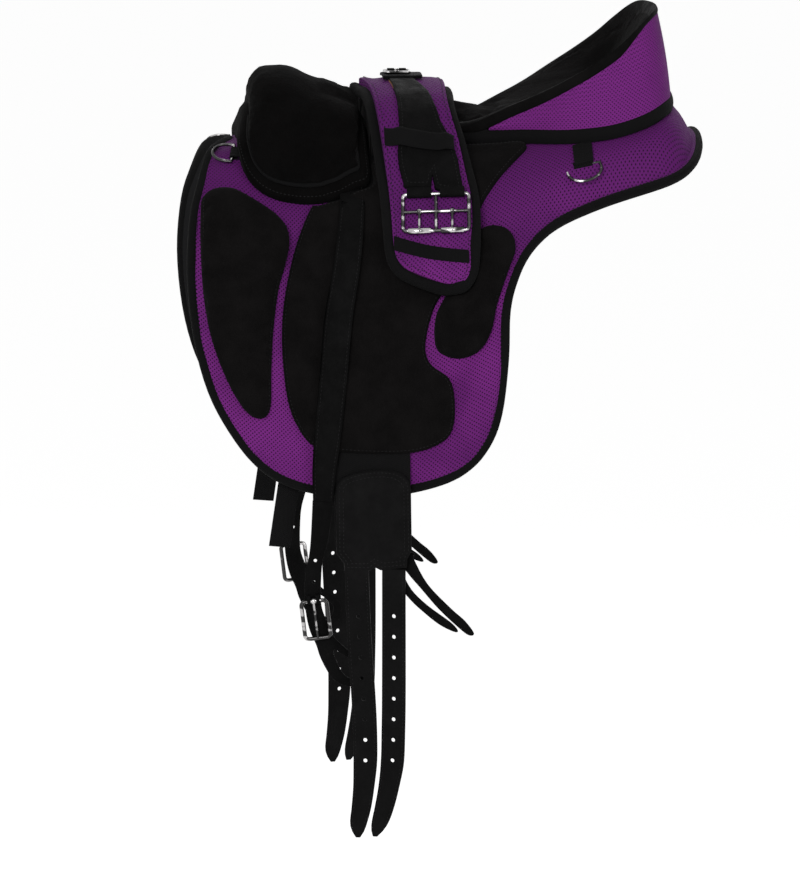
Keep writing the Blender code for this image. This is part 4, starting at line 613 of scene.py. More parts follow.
def roll_thick(x, s, depth):
    along = (x - POMMEL_FRONT) / (POMMEL_REAR - POMMEL_FRONT)
    spine = ROLL_SPINE_THICK * read_curve(ROLL_TOP_SHARES, along)
    full = spine + (ROLL_EDGE_THICK - spine) * ease(np.abs(s) / POMMEL_SKIRT)
    return crown(depth, ROLL_EDGE, full, ROLL_ROUND)


def resting(x, s):
    """Where pieces on the panel start."""
    return base_top(x, s) + FIT


def seat_foot(x, s):
    return on_back(x, s, resting(x, s))


def seat_top(x, s):
    """Points on the upper face of the seat."""
    depth = edge_depth(x, np.abs(s), SEAT_SIDE, closed=False)
    here = x - SEAT_LEAN * ease((x - SEAT_LEAN_START) / (SEAT_REAR - SEAT_LEAN_START))
    here_share = (here - SEAT_FRONT) / SEAT_LENGTH
    width = DISH_WIDTH * read_curve(DISH_SHARES, (x - SEAT_FRONT) / SEAT_LENGTH)
    slope = (1.0 - np.minimum(depth / width, 1.0)) ** DISH_POWER
    rim = CANTLE_HIGH * read_curve(SEAT_RIM_SHARES, here_share)
    floor = CANTLE_HIGH * read_curve(SEAT_FLOOR_SHARES, here_share)
    across = seat_foot(x, s)[:, 1] * (1.0 - SEAT_SIDE_LEAN / SEAT_WIDE)
    return np.stack([here, across, floor + (rim - floor) * slope], axis=-1)


# What the frame's own solids measure

class Solid:
    """Faces of some of the frame's nodes, to read their heights over the back."""

    def __init__(self, *nodes):
        corners, faces = [], []
        for node in nodes:
            mesh = frame["nodes"][node].data
            first = len(corners)
            corners += [vert.co.copy() for vert in mesh.vertices]
            faces += [[first + index for index in face.vertices] for face in mesh.polygons]
        self.tree = BVHTree.FromPolygons(corners, faces)

    def lift(self, x, s, top, blur):
        """Mean height of the upper or lower face round each place."""
        total, count = np.zeros(len(x)), np.zeros(len(x))
        turns = [j * math.pi / 4 for j in range(8)]
        for dx, ds in [(0.0, 0.0)] + [(blur * math.cos(k), blur * math.sin(k)) for k in turns]:
            feet, ups = on_back(x + dx, s + ds, 0.0), outward(x + dx, s + ds)
            for index, (foot, up) in enumerate(zip(feet, ups)):
                foot, up = Vector(foot), Vector(up)
                start = foot + up * (RAY_TOP if top else RAY_BOTTOM)
                hit = self.tree.ray_cast(start, -up if top else up, RAY_TOP - RAY_BOTTOM)[0]
                if hit is not None:
                    total[index] += (hit - foot).dot(up)
                    count[index] += 1
        known = count > 0
        lifts = np.where(known, total / np.maximum(count, 1), np.nan)
        if not known.all():
            away = np.abs(s)
            order = np.argsort(away[known])
            lifts[~known] = np.interp(away[~known], away[known][order], lifts[known][order])
        return lifts

    def face(self, top, blur=0.0, more=0.0):
        """Height of the upper or lower face, as laid pieces and seams take it."""
        return lambda x, s: self.lift(x, s, top, blur) + more


# Meshes laid over the back

def closed_loop(bm, outline):
    corners = [bm.verts.new((x, s, 0.0)) for x, s in outline]
    edges = [bm.edges.new((corners[index - 1], corners[index])) for index in range(len(corners))]
    return corners, edges


def flat_cells(outline, rings, pitch):
    """Flat mesh of an outline, with inner lines at the depths of the rings and square cells."""
    bm = bmesh.new()
    loop = closed_loop(bm, outline)
    for depth in rings:
        inner = closed_loop(bm, inset_line(outline, depth))
        bmesh.ops.triangle_fill(bm, use_beauty=True, edges=loop[1] + inner[1])
        loop = inner
    core = bm.faces.new(loop[0])
    places = np.array(outline)
    geom = [core, *core.verts, *core.edges]
    for axis in (0, 1):
        low, high = places[:, axis].min(), places[:, axis].max()
        normal = [float(k == axis) for k in range(3)]
        for step in range(math.floor(low / pitch), math.ceil(high / pitch) + 1):
            spot = [k * step * pitch for k in normal]
            geom = bmesh.ops.bisect_plane(bm, geom=geom, dist=pitch * 0.12, plane_co=spot,
                                          plane_no=normal)["geom"]
    bmesh.ops.triangulate(bm, faces=[face for face in bm.faces if len(face.verts) > 4])
    bmesh.ops.recalc_face_normals(bm, faces=bm.faces[:])
    if sum(face.normal.z for face in bm.faces) < 0:
        bmesh.ops.reverse_faces(bm, faces=bm.faces[:])
    return bm


def new_object(name, bm, looks, smooth=40.0):
    mesh = bpy.data.meshes.new(name)
    bm.to_mesh(mesh)
    bm.free()
    for look in looks:
        mesh.materials.append(material(look))
    mesh.shade_smooth()
    mesh.set_sharp_from_angle(angle=math.radians(smooth))
    item = bpy.data.objects.new(name, mesh)
    bpy.context.scene.collection.objects.link(item)
    return item


def keep(item, nodes=(), body="saddle"):
    """Hang a piece on its body and hide the frame's parts that it stands for."""
    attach(item, body)
    if nodes:
        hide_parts(*nodes)


def add_face(bm, uv, verts, spots):
    face = bm.faces.new(verts)
    for loop, spot in zip(face.loops, spots):
        loop[uv].uv = spot
    return face


def level(lift):
    """The same height at every place."""
    return lambda x, s: np.full(len(x), lift)


def edged(outline, thick, rounding, width=LEATHER_CROWN):
    """Upper face of leather whose edge is rounded over."""
    return lambda x, s, low: (low + thick - rounding * 2
                              + crown(edge_depth(x, s, outline), 0.0, rounding * 2, width))


def lay(bm, low, high, rim_look=None):
    """Closed solid on a flat mesh, with the flat places kept as its map."""
    bm.verts.index_update()
    places = np.array([vert.co[:2] for vert in bm.verts])
    x, s = places[:, 0], places[:, 1]
    lows = low(x, s)
    highs = high(x, s, lows)
    under, over = (lift if lift.ndim == 2 else on_back(x, s, lift) for lift in (lows, highs))
    faces = [[vert.index for vert in face.verts] for face in bm.faces]
    rims = [(edge.link_loops[0].vert.index, edge.link_loops[0].link_loop_next.vert.index)
            for edge in bm.edges if len(edge.link_loops) == 1]
    bm.free()
    solid = bmesh.new()
    uv = solid.loops.layers.uv.new("drape")
    bottom = [solid.verts.new(point) for point in under]
    top = [solid.verts.new(point) for point in over]
    thick = np.linalg.norm(over - under, axis=1)

    def face_of(verts, spots, look=0):
        if solid.faces.get(verts) is None:
            add_face(solid, uv, verts, spots).material_index = look

    for corners in faces:
        face_of([top[i] for i in corners], places[corners])
        face_of([bottom[i] for i in reversed(corners)], places[corners[::-1]])
    for a, b in rims:
        out = places[b] - places[a]
        out = np.array((out[1], -out[0])) / max(np.hypot(*out), 1e-9)
        face_of((bottom[a], bottom[b], top[b], top[a]),
                (places[a] + out * thick[a], places[b] + out * thick[b], places[b], places[a]),
                rim_look(*places[a]) if rim_look else 0)
    return solid


def wrinkles(x, s, size, height, seed):
    """Soft random rises at places, in metres."""
    shift = Vector((seed, seed, seed))
    return np.array([height * noise.fractal(Vector((a, b, 0.0)) / size + shift, 0.9, 2.0, 3)
                     for a, b in zip(x, s)])


def laid_piece(name, outline, low, high, looks, rings=(), pitch=HARD_CELL, rim_look=None):
    """Piece over the back between two faces, in cells that follow its outline."""
    return new_object(name, lay(flat_cells(outline, rings, pitch), low, high, rim_look), looks)


def swell(item, cap):
    """Puff a laid piece out in a short cloth run, held at its base and its sewn edge."""
    mesh, scene = item.data, bpy.context.scene
    count = len(mesh.vertices)
    pairs = [sorted(edge.vertices) for edge in mesh.edges]
    rim = {high for low, high in pairs if low < count // 2 <= high}
    beside = {b if a in rim else a for a, b in pairs if (a in rim) != (b in rim)}
    sewn = rim | beside | set(range(count // 2))
    item.vertex_groups.new(name="sewn").add(sorted(sewn), 1.0, "REPLACE")
    cloth = item.modifiers.new("padding", "CLOTH")
    for key, value in SWELL_SETTINGS.items():
        setattr(cloth.settings, key, value)
    cloth.settings.effector_weights.gravity = 0.0
    cloth.collision_settings.use_collision = False
    start, end = np.empty(count * 3), np.empty(count * 3)
    mesh.vertices.foreach_get("co", start)
    for moment in range(1, SWELL_FRAMES + 1):
        scene.frame_set(moment)
    item.evaluated_get(bpy.context.evaluated_depsgraph_get()).data.vertices.foreach_get("co", end)
    move = (end - start).reshape(-1, 3)
    move *= np.minimum(1.0, cap / np.maximum(np.linalg.norm(move, axis=1), 1e-9))[:, None]
    item.modifiers.remove(cloth)
    item.vertex_groups.clear()
    mesh.vertices.foreach_set("co", start + move.ravel())
    mesh.update()
    scene.frame_set(1)


def bead(name, outline, lift, width, height, inset, look, sides=10, squash=2.0):
    """Rounded strip along a closed line over the back."""
    line = np.array(outline, float)
    count = len(line)
    inward = inward_of(line, unit(np.roll(line, -1, axis=0) - np.roll(line, 1, axis=0)))
    steps = np.linalg.norm(np.roll(line, -1, axis=0) - line, axis=1)
    along = np.concatenate([[0.0], np.cumsum(steps)])
    bm = bmesh.new()
    uv = bm.loops.layers.uv.new("drape")
    rows = []
    for k in range(sides):
        angle = 2 * math.pi * k / sides
        across, up = (math.copysign(abs(v) ** (2 / squash), v) for v in (math.cos(angle), math.sin(angle)))
        spot = line + inward * (inset + width / 2 * across)
        lifts = lift(line[:, 0], line[:, 1]) + height / 2 * up
        rows.append([bm.verts.new(point) for point in on_back(spot[:, 0], spot[:, 1], lifts)])
    around = math.pi * (width + height) / 2 / sides
    for k in range(sides):
        for index in range(count):
            following = (index + 1) % count
            add_face(bm, uv, (rows[k - 1][index], rows[k][index], rows[k][following],
                              rows[k - 1][following]),
                     [(along[index + a], (k + b) * around) for a, b in ((0, 0), (0, 1), (1, 1), (1, 0))])
    bmesh.ops.recalc_face_normals(bm, faces=bm.faces[:])
    return new_object(name, bm, [look])


# Stitches

def stitch_mesh(rows, pitch, length, width):
    """Short threads along lines of (point, outward) pairs, as one mesh."""
    bm = bmesh.new()
    for row in rows:
        points = [Vector(point) for point, _ in row]
        ups = [Vector(up) for _, up in row]
        along = [0.0]
        for a, b in zip(points, points[1:]):
            along.append(along[-1] + (b - a).length)
        count = int(along[-1] / pitch)
        spot = 0
        for index in range(count):
            middle = (index + 0.5) * pitch
            while spot < len(along) - 2 and along[spot + 1] < middle:
                spot += 1
            run = points[spot + 1] - points[spot]
            if run.length < 1e-9:
                continue
            share = (middle - along[spot]) / max(along[spot + 1] - along[spot], 1e-9)
            centre = points[spot] + run * share
            run = run.normalized()
            up = ups[spot]
            side = run.cross(up).normalized()
            ends = [bm.verts.new(centre + run * length / 2 * k - up * width * 0.2) for k in (-1, 1)]
            ring = [bm.verts.new(centre + side * width / 2 * a + up * width / 2 * b)
                    for a, b in ((1, 0), (0, 1), (-1, 0), (0, -1))]
            for k in range(4):
                bm.faces.new((ends[0], ring[k], ring[k - 1]))
                bm.faces.new((ends[1], ring[k - 1], ring[k]))
    bmesh.ops.recalc_face_normals(bm, faces=bm.faces[:])
    return bm


def drape_row(outline, depth, lift, closed=True):
    """Line over the back at a depth inside an outline."""
    line = inset_line(outline, depth) if depth else np.array(outline)
    if closed:
        line = np.vstack([line, line[:1]])
    x, s = line[:, 0], line[:, 1]
    return list(zip(on_back(x, s, lift(x, s)), outward(x, s)))


# Frames of what moves or is turned, read from the frame's joints

def frame_matrix(along, up, out, origin):
    return Matrix.Translation(origin) @ Matrix((along, up, out)).transposed().to_4x4()


def squared(along, up, origin, side):
    """Frame at a place: along, up square to it, and outward on its side of the saddle."""
    up = (up - along * up.dot(along)).normalized()
    out = along.cross(up)
    return frame_matrix(along, up, out if out.y * side > 0 else -out, origin)


def joint_line(child):
    """Place of a joint, with the direction of its axis."""
    return Vector(JOINTS[child]["pos_m"]), Vector(JOINTS[child]["axis"]).normalized()


def rearward(along):
    return along if along.x > 0 else -along


def joint_frame(child, side):
    """Frame at a joint: along the saddle, up, and outward from it."""
    origin, along = joint_line(child)
    return squared(rearward(along), Vector((0.0, 0.0, 1.0)), origin, side)


def top_buckle_frame():
    return Matrix.Translation(JOINTS["top_tongue"]["pos_m"])


def ring_frame(child, side):
    """Frame of a ring: its bar along the joint, its bow pointing down in it."""
    origin, along = joint_line(child)
    low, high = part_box(child)
    return squared(along, origin - (low + high) / 2, origin, side)


def buckle_frame(name, side):
    """Frame of a double buckle, from its rollers and its tongues."""
    ends = [[joint_line("%s_%s_%s" % (kind, end, name))[0] for end in ("front", "rear")]
            for kind in ("roller", "tongue")]
    (front, rear), tongues = ends
    middle = (tongues[0] + tongues[1]) / 2
    matrix = squared((rear - front).normalized(), middle - (front + rear) / 2, middle, side)
    return matrix @ Matrix.Translation((0.0, -BUCKLE_BAR_RISE, 0.0))


def strap_buckle_frame(name, side):
    """Frame of the small buckle on a strap's tail, from its solids."""
    origin, along = joint_line("strap_tongue_" + name)
    along = rearward(along)
    out = joint_frame("front_strap_tail_" + name, side).col[2].to_3d().normalized()
    up = out.cross(along)
    up = up if up.z > 0 else -up
    return frame_matrix(along, up, out, origin - up * STRAP_BUCKLE_HEIGHT / 2)


# Flat straps and wires in a local frame

def curve_mesh(lines, closed, **settings):
    """Mesh of a curve through lines of points."""
    curve = bpy.data.curves.new("line", "CURVE")
    for key, value in settings.items():
        setattr(curve, key, value)
    for line in lines:
        spline = curve.splines.new("POLY")
        spline.points.add(len(line) - 1)
        for place, point in zip(spline.points, line):
            place.co = (*Vector(point).to_3d(), 1.0)
        spline.use_cyclic_u = closed
    holder = bpy.data.objects.new("line", curve)
    bpy.context.scene.collection.objects.link(holder)
    graph = bpy.context.evaluated_depsgraph_get()
    mesh = bpy.data.meshes.new_from_object(holder.evaluated_get(graph))
    bpy.data.objects.remove(holder, do_unlink=True)
    bpy.data.curves.remove(curve)
    bm = bmesh.new()
    bm.from_mesh(mesh)
    bpy.data.meshes.remove(mesh)
    bmesh.ops.remove_doubles(bm, verts=bm.verts[:], dist=1e-6)
    return bm


def moved_mesh(bm, matrix):
    bmesh.ops.transform(bm, matrix=matrix, verts=bm.verts[:])
    bmesh.ops.recalc_face_normals(bm, faces=bm.faces[:])
    return bm


def map_faces(bm, spot_of):
    uv = bm.loops.layers.uv.new("drape")
    for face in bm.faces:
        for loop in face.loops:
            loop[uv].uv = spot_of(loop.vert.co)


def flat_strap(name, outline, thick, holes, matrix, look, rounding):
    """Flat leather or webbing from a filled outline with rounded edges, cut across in steps."""
    bm = curve_mesh((outline, *holes), True, dimensions="2D", fill_mode="BOTH", extrude=thick / 2 - rounding,
                    bevel_depth=rounding, bevel_resolution=2, offset=-rounding)
    low = min(vert.co.y for vert in bm.verts)
    high = max(vert.co.y for vert in bm.verts)
    for step in range(1, int((high - low) / STRAP_STEP)):
        bmesh.ops.bisect_plane(bm, geom=bm.verts[:] + bm.edges[:] + bm.faces[:], dist=STRAP_STEP / 60,
                               plane_co=(0.0, low + step * STRAP_STEP, 0.0), plane_no=(0.0, 1.0, 0.0))
    bmesh.ops.triangulate(bm, faces=[face for face in bm.faces if len(face.verts) > 4])
    map_faces(bm, lambda co: (co.x + co.z, co.y))
    return new_object(name, moved_mesh(bm, matrix), [look], 50.0)


def hang(name, outline, thick, holes, child, side, look, rounding):
    """Flat strap that hangs on its own joint."""
    matrix = joint_frame(child, side)
    keep(flat_strap(name, outline, thick, holes, matrix, look, rounding), (child,), body=child)
    return matrix


def wire_mesh(points, radius, closed, matrix, sides):
    """Round wire along points, as a mesh."""
    bm = curve_mesh((points,), closed, dimensions="3D", bevel_depth=radius, bevel_resolution=sides // 4,
                    use_fill_caps=True)
    return moved_mesh(bm, matrix)


def turned(profile, start, end, matrix, sides=24):
    """Closed solid turned about the line from start to end, from (along, radius) pairs."""
    bm = bmesh.new()
    start, end = Vector(start), Vector(end)
    run = (end - start).normalized()
    side = run.orthogonal().normalized()
    other = run.cross(side)
    rows = []
    for along, radius in profile:
        centre = start + run * along
        rows.append([bm.verts.new(centre + (side * math.cos(2 * math.pi * k / sides)
                                            + other * math.sin(2 * math.pi * k / sides)) * radius)
                     for k in range(sides)])
    for first, second in zip(rows, rows[1:] + rows[:1]):
        for k in range(sides):
            bm.faces.new((first[k - 1], first[k], second[k], second[k - 1]))
    return moved_mesh(bm, matrix)


def joined(*meshes):
    result = bmesh.new()
    for bm in meshes:
        mesh = bpy.data.meshes.new("join")
        bm.to_mesh(mesh)
        bm.free()
        result.from_mesh(mesh)
        bpy.data.meshes.remove(mesh)
    return result


def rounded_box(width, height, corner, steps=6):
    points = []
    for turn, (sign_a, sign_b) in enumerate(((1, 1), (-1, 1), (-1, -1), (1, -1))):
        for step in range(steps + 1):
            angle = math.pi / 2 * (turn + step / steps)
            points.append((sign_a * (width / 2 - corner) + corner * math.cos(angle),
                           sign_b * (height / 2 - corner) + corner * math.sin(angle), 0.0))
    return points


def circle(a, b, radius, count=16):
    return [(a + radius * math.cos(2 * math.pi * k / count),
             b + radius * math.sin(2 * math.pi * k / count)) for k in range(count)]


def scaled(shares, size):
    return from_shares(shares, 0.0, size, size)


def arch(width, profile, matrix, place=0.0, slot=0.0, columns=8):
    """Closed solid with a (up, out) profile, with room for a tongue in the middle."""
    bm = bmesh.new()
    half, middle = width / 2, len(profile) // 2
    for low, high in ((-half, -slot / 2), (slot / 2, half)) if slot else ((-half, half),):
        rows = [[bm.verts.new((place + low + (high - low) * column / columns, b, c)) for b, c in profile]
                for column in range(columns + 1)]
        for left, right in zip(rows, rows[1:]):
            for k in range(len(profile)):
                bm.faces.new((left[k - 1], left[k], right[k], right[k - 1]))
        for row in (rows[0], rows[-1]):
            for k in range(middle - 1):
                bm.faces.new((row[k], row[k + 1], row[-k - 2], row[-k - 1]))
    map_faces(bm, lambda co: (co.x, co.y + co.z))
    return moved_mesh(bm, matrix)


def wrap(bore, wall, rise, reach, pinch=1.0):
    """Profile of a strap folded round a bar, as (up, out) pairs."""
    arc = [math.radians(15 * k - 90) for k in range(13)]
    outer = bore + wall
    end = rise + reach
    outside = [(rise - outer * math.cos(a), outer * math.sin(a)) for a in arc]
    inside = [(rise - bore * math.cos(a), bore * math.sin(a)) for a in reversed(arc)]
    return [(end, -outer), *outside, (end, outer), (end, bore * pinch), *inside, (end, -bore * pinch)]


def ring_loop(name, width, matrix, nodes=()):
    """Webbing folded round the bar of a ring."""
    profile = wrap(RING_WIRE + GAP, RING_TAB_WALL, 0.0, RING_TAB_REACH)
    keep(new_object(name, arch(width, profile, matrix, columns=6), ["black webbing"]), nodes)


def fold_mesh(width, wire_radius, bar_rise, matrix, place=0.0, slot=TONGUE_WIDTH + 4 * GAP):
    """Leather folded round a bar, both layers running back from it."""
    bore = wire_radius + GAP
    profile = wrap(bore, FOLD_WALL, bar_rise, (bore + FOLD_WALL) * FOLD_REACH, FOLD_PINCH)
    return arch(width, profile, matrix, place, slot)


# Materials

class Look:
    """Node tree of one material, with short ways to add nodes."""

    def __init__(self, name, roughness, metallic=0.0):
        self.material = bpy.data.materials.new(name)
        self.material.use_nodes = True
        self.tree = self.material.node_tree
        self.shader = self.tree.nodes["Principled BSDF"]
        self.shader.inputs["Roughness"].default_value = roughness
        self.shader.inputs["Metallic"].default_value = metallic

    def node(self, kind, **settings):
        node = self.tree.nodes.new(kind)
        for key, value in settings.items():
            setattr(node, key, value)
        return node

    def link(self, output, socket):
        self.tree.links.new(output, socket)

    def put(self, socket, value):
        if hasattr(value, "is_output"):
            self.link(value, socket)
        else:
            socket.default_value = value

    def math(self, operation, first, second=0.0, third=0.0):
        node = self.node("ShaderNodeMath", operation=operation)
        for socket, value in zip(node.inputs, (first, second, third)):
            self.put(socket, value)
        return node.outputs[0]

    def drape(self):
        node = self.node("ShaderNodeSeparateXYZ")
        self.link(self.node("ShaderNodeUVMap", uv_map="drape").outputs[0], node.inputs[0])
        return node.outputs[0], node.outputs[1]

    def place(self, stretch=(1.0, 1.0, 1.0)):
        node = self.node("ShaderNodeMapping")
        self.link(self.node("ShaderNodeTexCoord").outputs["Object"], node.inputs["Vector"])
        node.inputs["Scale"].default_value = stretch
        return node.outputs[0]

    def noise(self, scale, detail=4.0, roughness=0.55, stretch=(1.0, 1.0, 1.0)):
        node = self.node("ShaderNodeTexNoise")
        self.link(self.place(stretch), node.inputs["Vector"])
        node.inputs["Scale"].default_value = scale
        node.inputs["Detail"].default_value = detail
        node.inputs["Roughness"].default_value = roughness
        return node.outputs["Fac"]

    def span(self, value, low, high, to_low=0.0, to_high=1.0):
        node = self.node("ShaderNodeMapRange", interpolation_type="SMOOTHSTEP")
        self.put(node.inputs["Value"], value)
        for key, number in (("From Min", low), ("From Max", high), ("To Min", to_low), ("To Max", to_high)):
            node.inputs[key].default_value = number
        return node.outputs["Result"]

    def mix(self, share, first, second):
        node = self.node("ShaderNodeMix", data_type="RGBA")
        self.put(node.inputs["Factor"], share)
        self.put(node.inputs["A"], (*first, 1.0) if isinstance(first, tuple) else first)
        self.put(node.inputs["B"], (*second, 1.0) if isinstance(second, tuple) else second)
        return node.outputs["Result"]

    def color(self, value):
        self.put(self.shader.inputs["Base Color"], value)

    def bump(self, *layers):
        """Bumps from (height, depth in metres) pairs, one after the other."""
        normal = None
        for height, depth in layers:
            node = self.node("ShaderNodeBump")
            node.inputs["Distance"].default_value = depth
            node.inputs["Strength"].default_value = 1.0
            self.link(height, node.inputs["Height"])
            if normal is not None:
                self.link(normal, node.inputs["Normal"])
            normal = node.outputs[0]
        self.link(normal, self.shader.inputs["Normal"])

    def fixed(self, **values):
        for key, value in values.items():
            self.shader.inputs[key.replace("_", " ")].default_value = value


def shade(color, factor):
    return tuple(min(part * factor, 1.0) for part in color)


def make_air_mesh(name, color, painted_spine_shade=True):
    """Knitted spacer mesh round a diamond grid of holes, with painted shade near the spine and painted light
    and shade in random patches.
    """
    look = Look(name, 0.72)
    u, v = look.drape()
    size = 1.0 / (bpy.context.scene.saddle_sizes.mesh_pitch * math.sqrt(2.0))
    cells = []
    for operation in ("ADD", "SUBTRACT"):
        turned_place = look.math("MULTIPLY", look.math(operation, u, v), size)
        cell = look.math("SUBTRACT", look.math("FRACT", turned_place), 0.5)
        cells.append(look.math("MULTIPLY", cell, cell))
    away = look.math("SQRT", look.math("ADD", *cells))
    thread = look.span(away, 0.10, 0.30)
    dark = shade(color, 0.13)
    # Painted light and shade: random patches run from a shadow colour to a lit colour, and near the spine the
    # mesh takes the painted shadow
    shadow = (color[0] * 0.38, color[1] * 0.25, color[2] * 0.45)
    bright = look.span(look.noise(9.0, 3.0), 0.25, 0.60)
    if painted_spine_shade:
        bright = look.math("MULTIPLY", bright, look.span(look.math("ABSOLUTE", v), 0.095, 0.190))
    painted_light_and_shade = look.mix(bright, shadow, shade(color, 1.12))
    fuzz = look.noise(1900.0, 2.0)
    worn = look.mix(look.math("MULTIPLY", fuzz, 0.5), painted_light_and_shade, shade(color, 1.5))
    look.color(look.mix(thread, dark, worn))
    look.bump((thread, 0.0007), (fuzz, 0.0002), (look.noise(45.0, 3.0), 0.0010))
    look.fixed(Specular_IOR_Level=0.10, Sheen_Weight=0.015, Sheen_Roughness=0.5)


def make_suede(name, color):
    look = Look(name, 0.94)
    cloud = look.span(look.noise(38.0, 6.0), 0.30, 0.72)
    brushed = look.noise(420.0, 3.0, 0.6, (1.0, 1.0, 0.5))
    base = look.mix(cloud, shade(color, 0.75), shade(color, 1.55))
    look.color(look.mix(look.math("MULTIPLY", brushed, 0.45), base, shade(color, 2.4)))
    look.bump((look.noise(2400.0, 2.0), 0.00025), (brushed, 0.0004), (look.noise(60.0, 4.0), 0.0016))
    look.fixed(Specular_IOR_Level=0.03, Sheen_Weight=0.012, Sheen_Roughness=0.45)


def make_leather(name, color, shine):
    look = Look(name, shine)
    grain = look.node("ShaderNodeTexVoronoi", feature="DISTANCE_TO_EDGE")
    look.link(look.place(), grain.inputs["Vector"])
    grain.inputs["Scale"].default_value = 820.0
    cells = look.span(grain.outputs["Distance"], 0.0, 0.16)
    worn = look.span(look.noise(26.0, 5.0), 0.42, 0.78)
    look.color(look.mix(worn, color, shade(color, 1.9)))
    rough = look.span(look.noise(70.0, 4.0), 0.3, 0.7, shine - 0.08, shine + 0.12)
    look.put(look.shader.inputs["Roughness"], rough)
    look.bump((cells, 0.00022), (look.noise(240.0, 3.0), 0.0004))
    look.fixed(Specular_IOR_Level=0.05)


def make_tape(name, color, pitch):
    """Woven binding tape with fine ribs across it."""
    look = Look(name, 0.86)
    u, v = look.drape()
    rib = look.math("SINE", look.math("MULTIPLY", u, 2 * math.pi / pitch))
    thread = look.math("SINE", look.math("MULTIPLY", v, 2 * math.pi / (pitch * 0.7)))
    weave = look.math("MULTIPLY_ADD", look.math("MULTIPLY", rib, thread), 0.5, 0.5)
    base = look.mix(look.noise(60.0, 4.0), shade(color, 0.8), shade(color, 1.5))
    look.color(look.mix(weave, shade(color, 0.55), base))
    look.bump((weave, 0.0003), (look.noise(300.0, 3.0), 0.0005))
    look.fixed(Specular_IOR_Level=0.07, Sheen_Weight=0.01)


def make_webbing(name, color, pitch):
    """Flat webbing with slanted threads in rows."""
    look = Look(name, 0.82)
    u, v = look.drape()
    row = look.math("PINGPONG", look.math("MULTIPLY", u, 1.0 / pitch), 1.0)
    slant = look.math("ADD", look.math("MULTIPLY", v, 1.0 / pitch), look.math("MULTIPLY", row, 0.9))
    thread = look.math("ABSOLUTE", look.math("SINE", look.math("MULTIPLY", slant, math.pi)))
    look.color(look.mix(thread, shade(color, 0.4), look.mix(look.noise(80.0), color, shade(color, 1.7))))
    look.bump((thread, 0.0004), (row, 0.0003))
    look.fixed(Specular_IOR_Level=0.07)


def make_steel(name, color):
    look = Look(name, 0.2, 1.0)
    scratches = look.noise(900.0, 4.0, 0.6, (1.0, 6.0, 1.0))
    # Painted reflections: patches of near-black and full colour stand in for dark and bright surroundings
    # seen in the steel
    painted_reflections = look.span(look.noise(70.0, 1.0, 0.4, (1.0, 1.0, 2.0)), 0.50, 0.60)
    look.color(look.mix(painted_reflections, shade(color, 0.10), color))
    look.put(look.shader.inputs["Roughness"], look.span(scratches, 0.3, 0.8, 0.10, 0.26))
    look.bump((scratches, 0.00004))


def make_plain(name, color, roughness, scale, depth):
    look = Look(name, roughness)
    grain = look.noise(scale, 3.0)
    look.color(look.mix(grain, shade(color, 0.7), shade(color, 1.35)))
    look.bump((grain, depth))
    look.fixed(Specular_IOR_Level=0.15)


# Sizes and colours that a user would change

class SaddleSizes(bpy.types.PropertyGroup):
    mesh_pitch: FloatProperty(name="Mesh pitch", default=0.0031, unit="LENGTH",
                              description="Distance between holes of the air mesh")
    cell: FloatProperty(name="Cell", default=0.0055, unit="LENGTH",
                        description="Size of the cells that padded pieces are built from")
    fold: FloatProperty(name="Creases", default=0.0016, unit="LENGTH",
                        description="Height of the creases in the suede")
    piping: FloatProperty(name="Piping", default=0.0042, unit="LENGTH",
                          description="Width of the piping between the pommel's parts")
    stitch: FloatProperty(name="Stitch", default=0.0030, unit="LENGTH",
                          description="Length of one stitch")
    stitch_pitch: FloatProperty(name="Stitch pitch", default=0.0042, unit="LENGTH",
                                description="Distance from stitch to stitch")
    thread: FloatProperty(name="Thread", default=0.0009, unit="LENGTH",
                          description="Thickness of the sewing thread")
    leather_edge: FloatProperty(name="Leather edge", default=0.0006, unit="LENGTH",
                                description="Rounding of the edges of the straps")
    wire_sides: IntProperty(name="Wire sides", default=16, min=8, max=32,
                            description="Sides of rings and buckles")


class SaddleColours(bpy.types.PropertyGroup):
    purple: FloatVectorProperty(name="Air mesh", subtype="COLOR", default=(0.130, 0.0135, 0.150),
                                min=0.0, max=1.0, description="Colour of the air mesh")
    suede: FloatVectorProperty(name="Suede", subtype="COLOR", default=(0.0034, 0.0031, 0.0031),
                               min=0.0, max=1.0, description="Colour of the suede")
    leather: FloatVectorProperty(name="Leather", subtype="COLOR", default=(0.0034, 0.0033, 0.0034),
                                 min=0.0, max=1.0, description="Colour of the straps")
    tape: FloatVectorProperty(name="Binding", subtype="COLOR", default=(0.0042, 0.0041, 0.0043),
                              min=0.0, max=1.0, description="Colour of the binding tape")
    webbing: FloatVectorProperty(name="Webbing", subtype="COLOR", default=(0.0044, 0.0043, 0.0045),
                                 min=0.0, max=1.0, description="Colour of the webbing")
    steel: FloatVectorProperty(name="Steel", subtype="COLOR", default=(0.46, 0.45, 0.45),
                               min=0.0, max=1.0, description="Colour of rings and buckles")
    thread: FloatVectorProperty(name="Thread", subtype="COLOR", default=(0.0085, 0.0083, 0.0088),
                                min=0.0, max=1.0, description="Colour of the sewing thread")
    lining: FloatVectorProperty(name="Lining", subtype="COLOR", default=(0.006, 0.006, 0.0065),
                                min=0.0, max=1.0, description="Colour of the lining under the panel")
    raw_edge: FloatVectorProperty(name="Raw edge", subtype="COLOR", default=(0.22, 0.105, 0.042),
                                  min=0.0, max=1.0, description="Colour of cut leather at its edge")


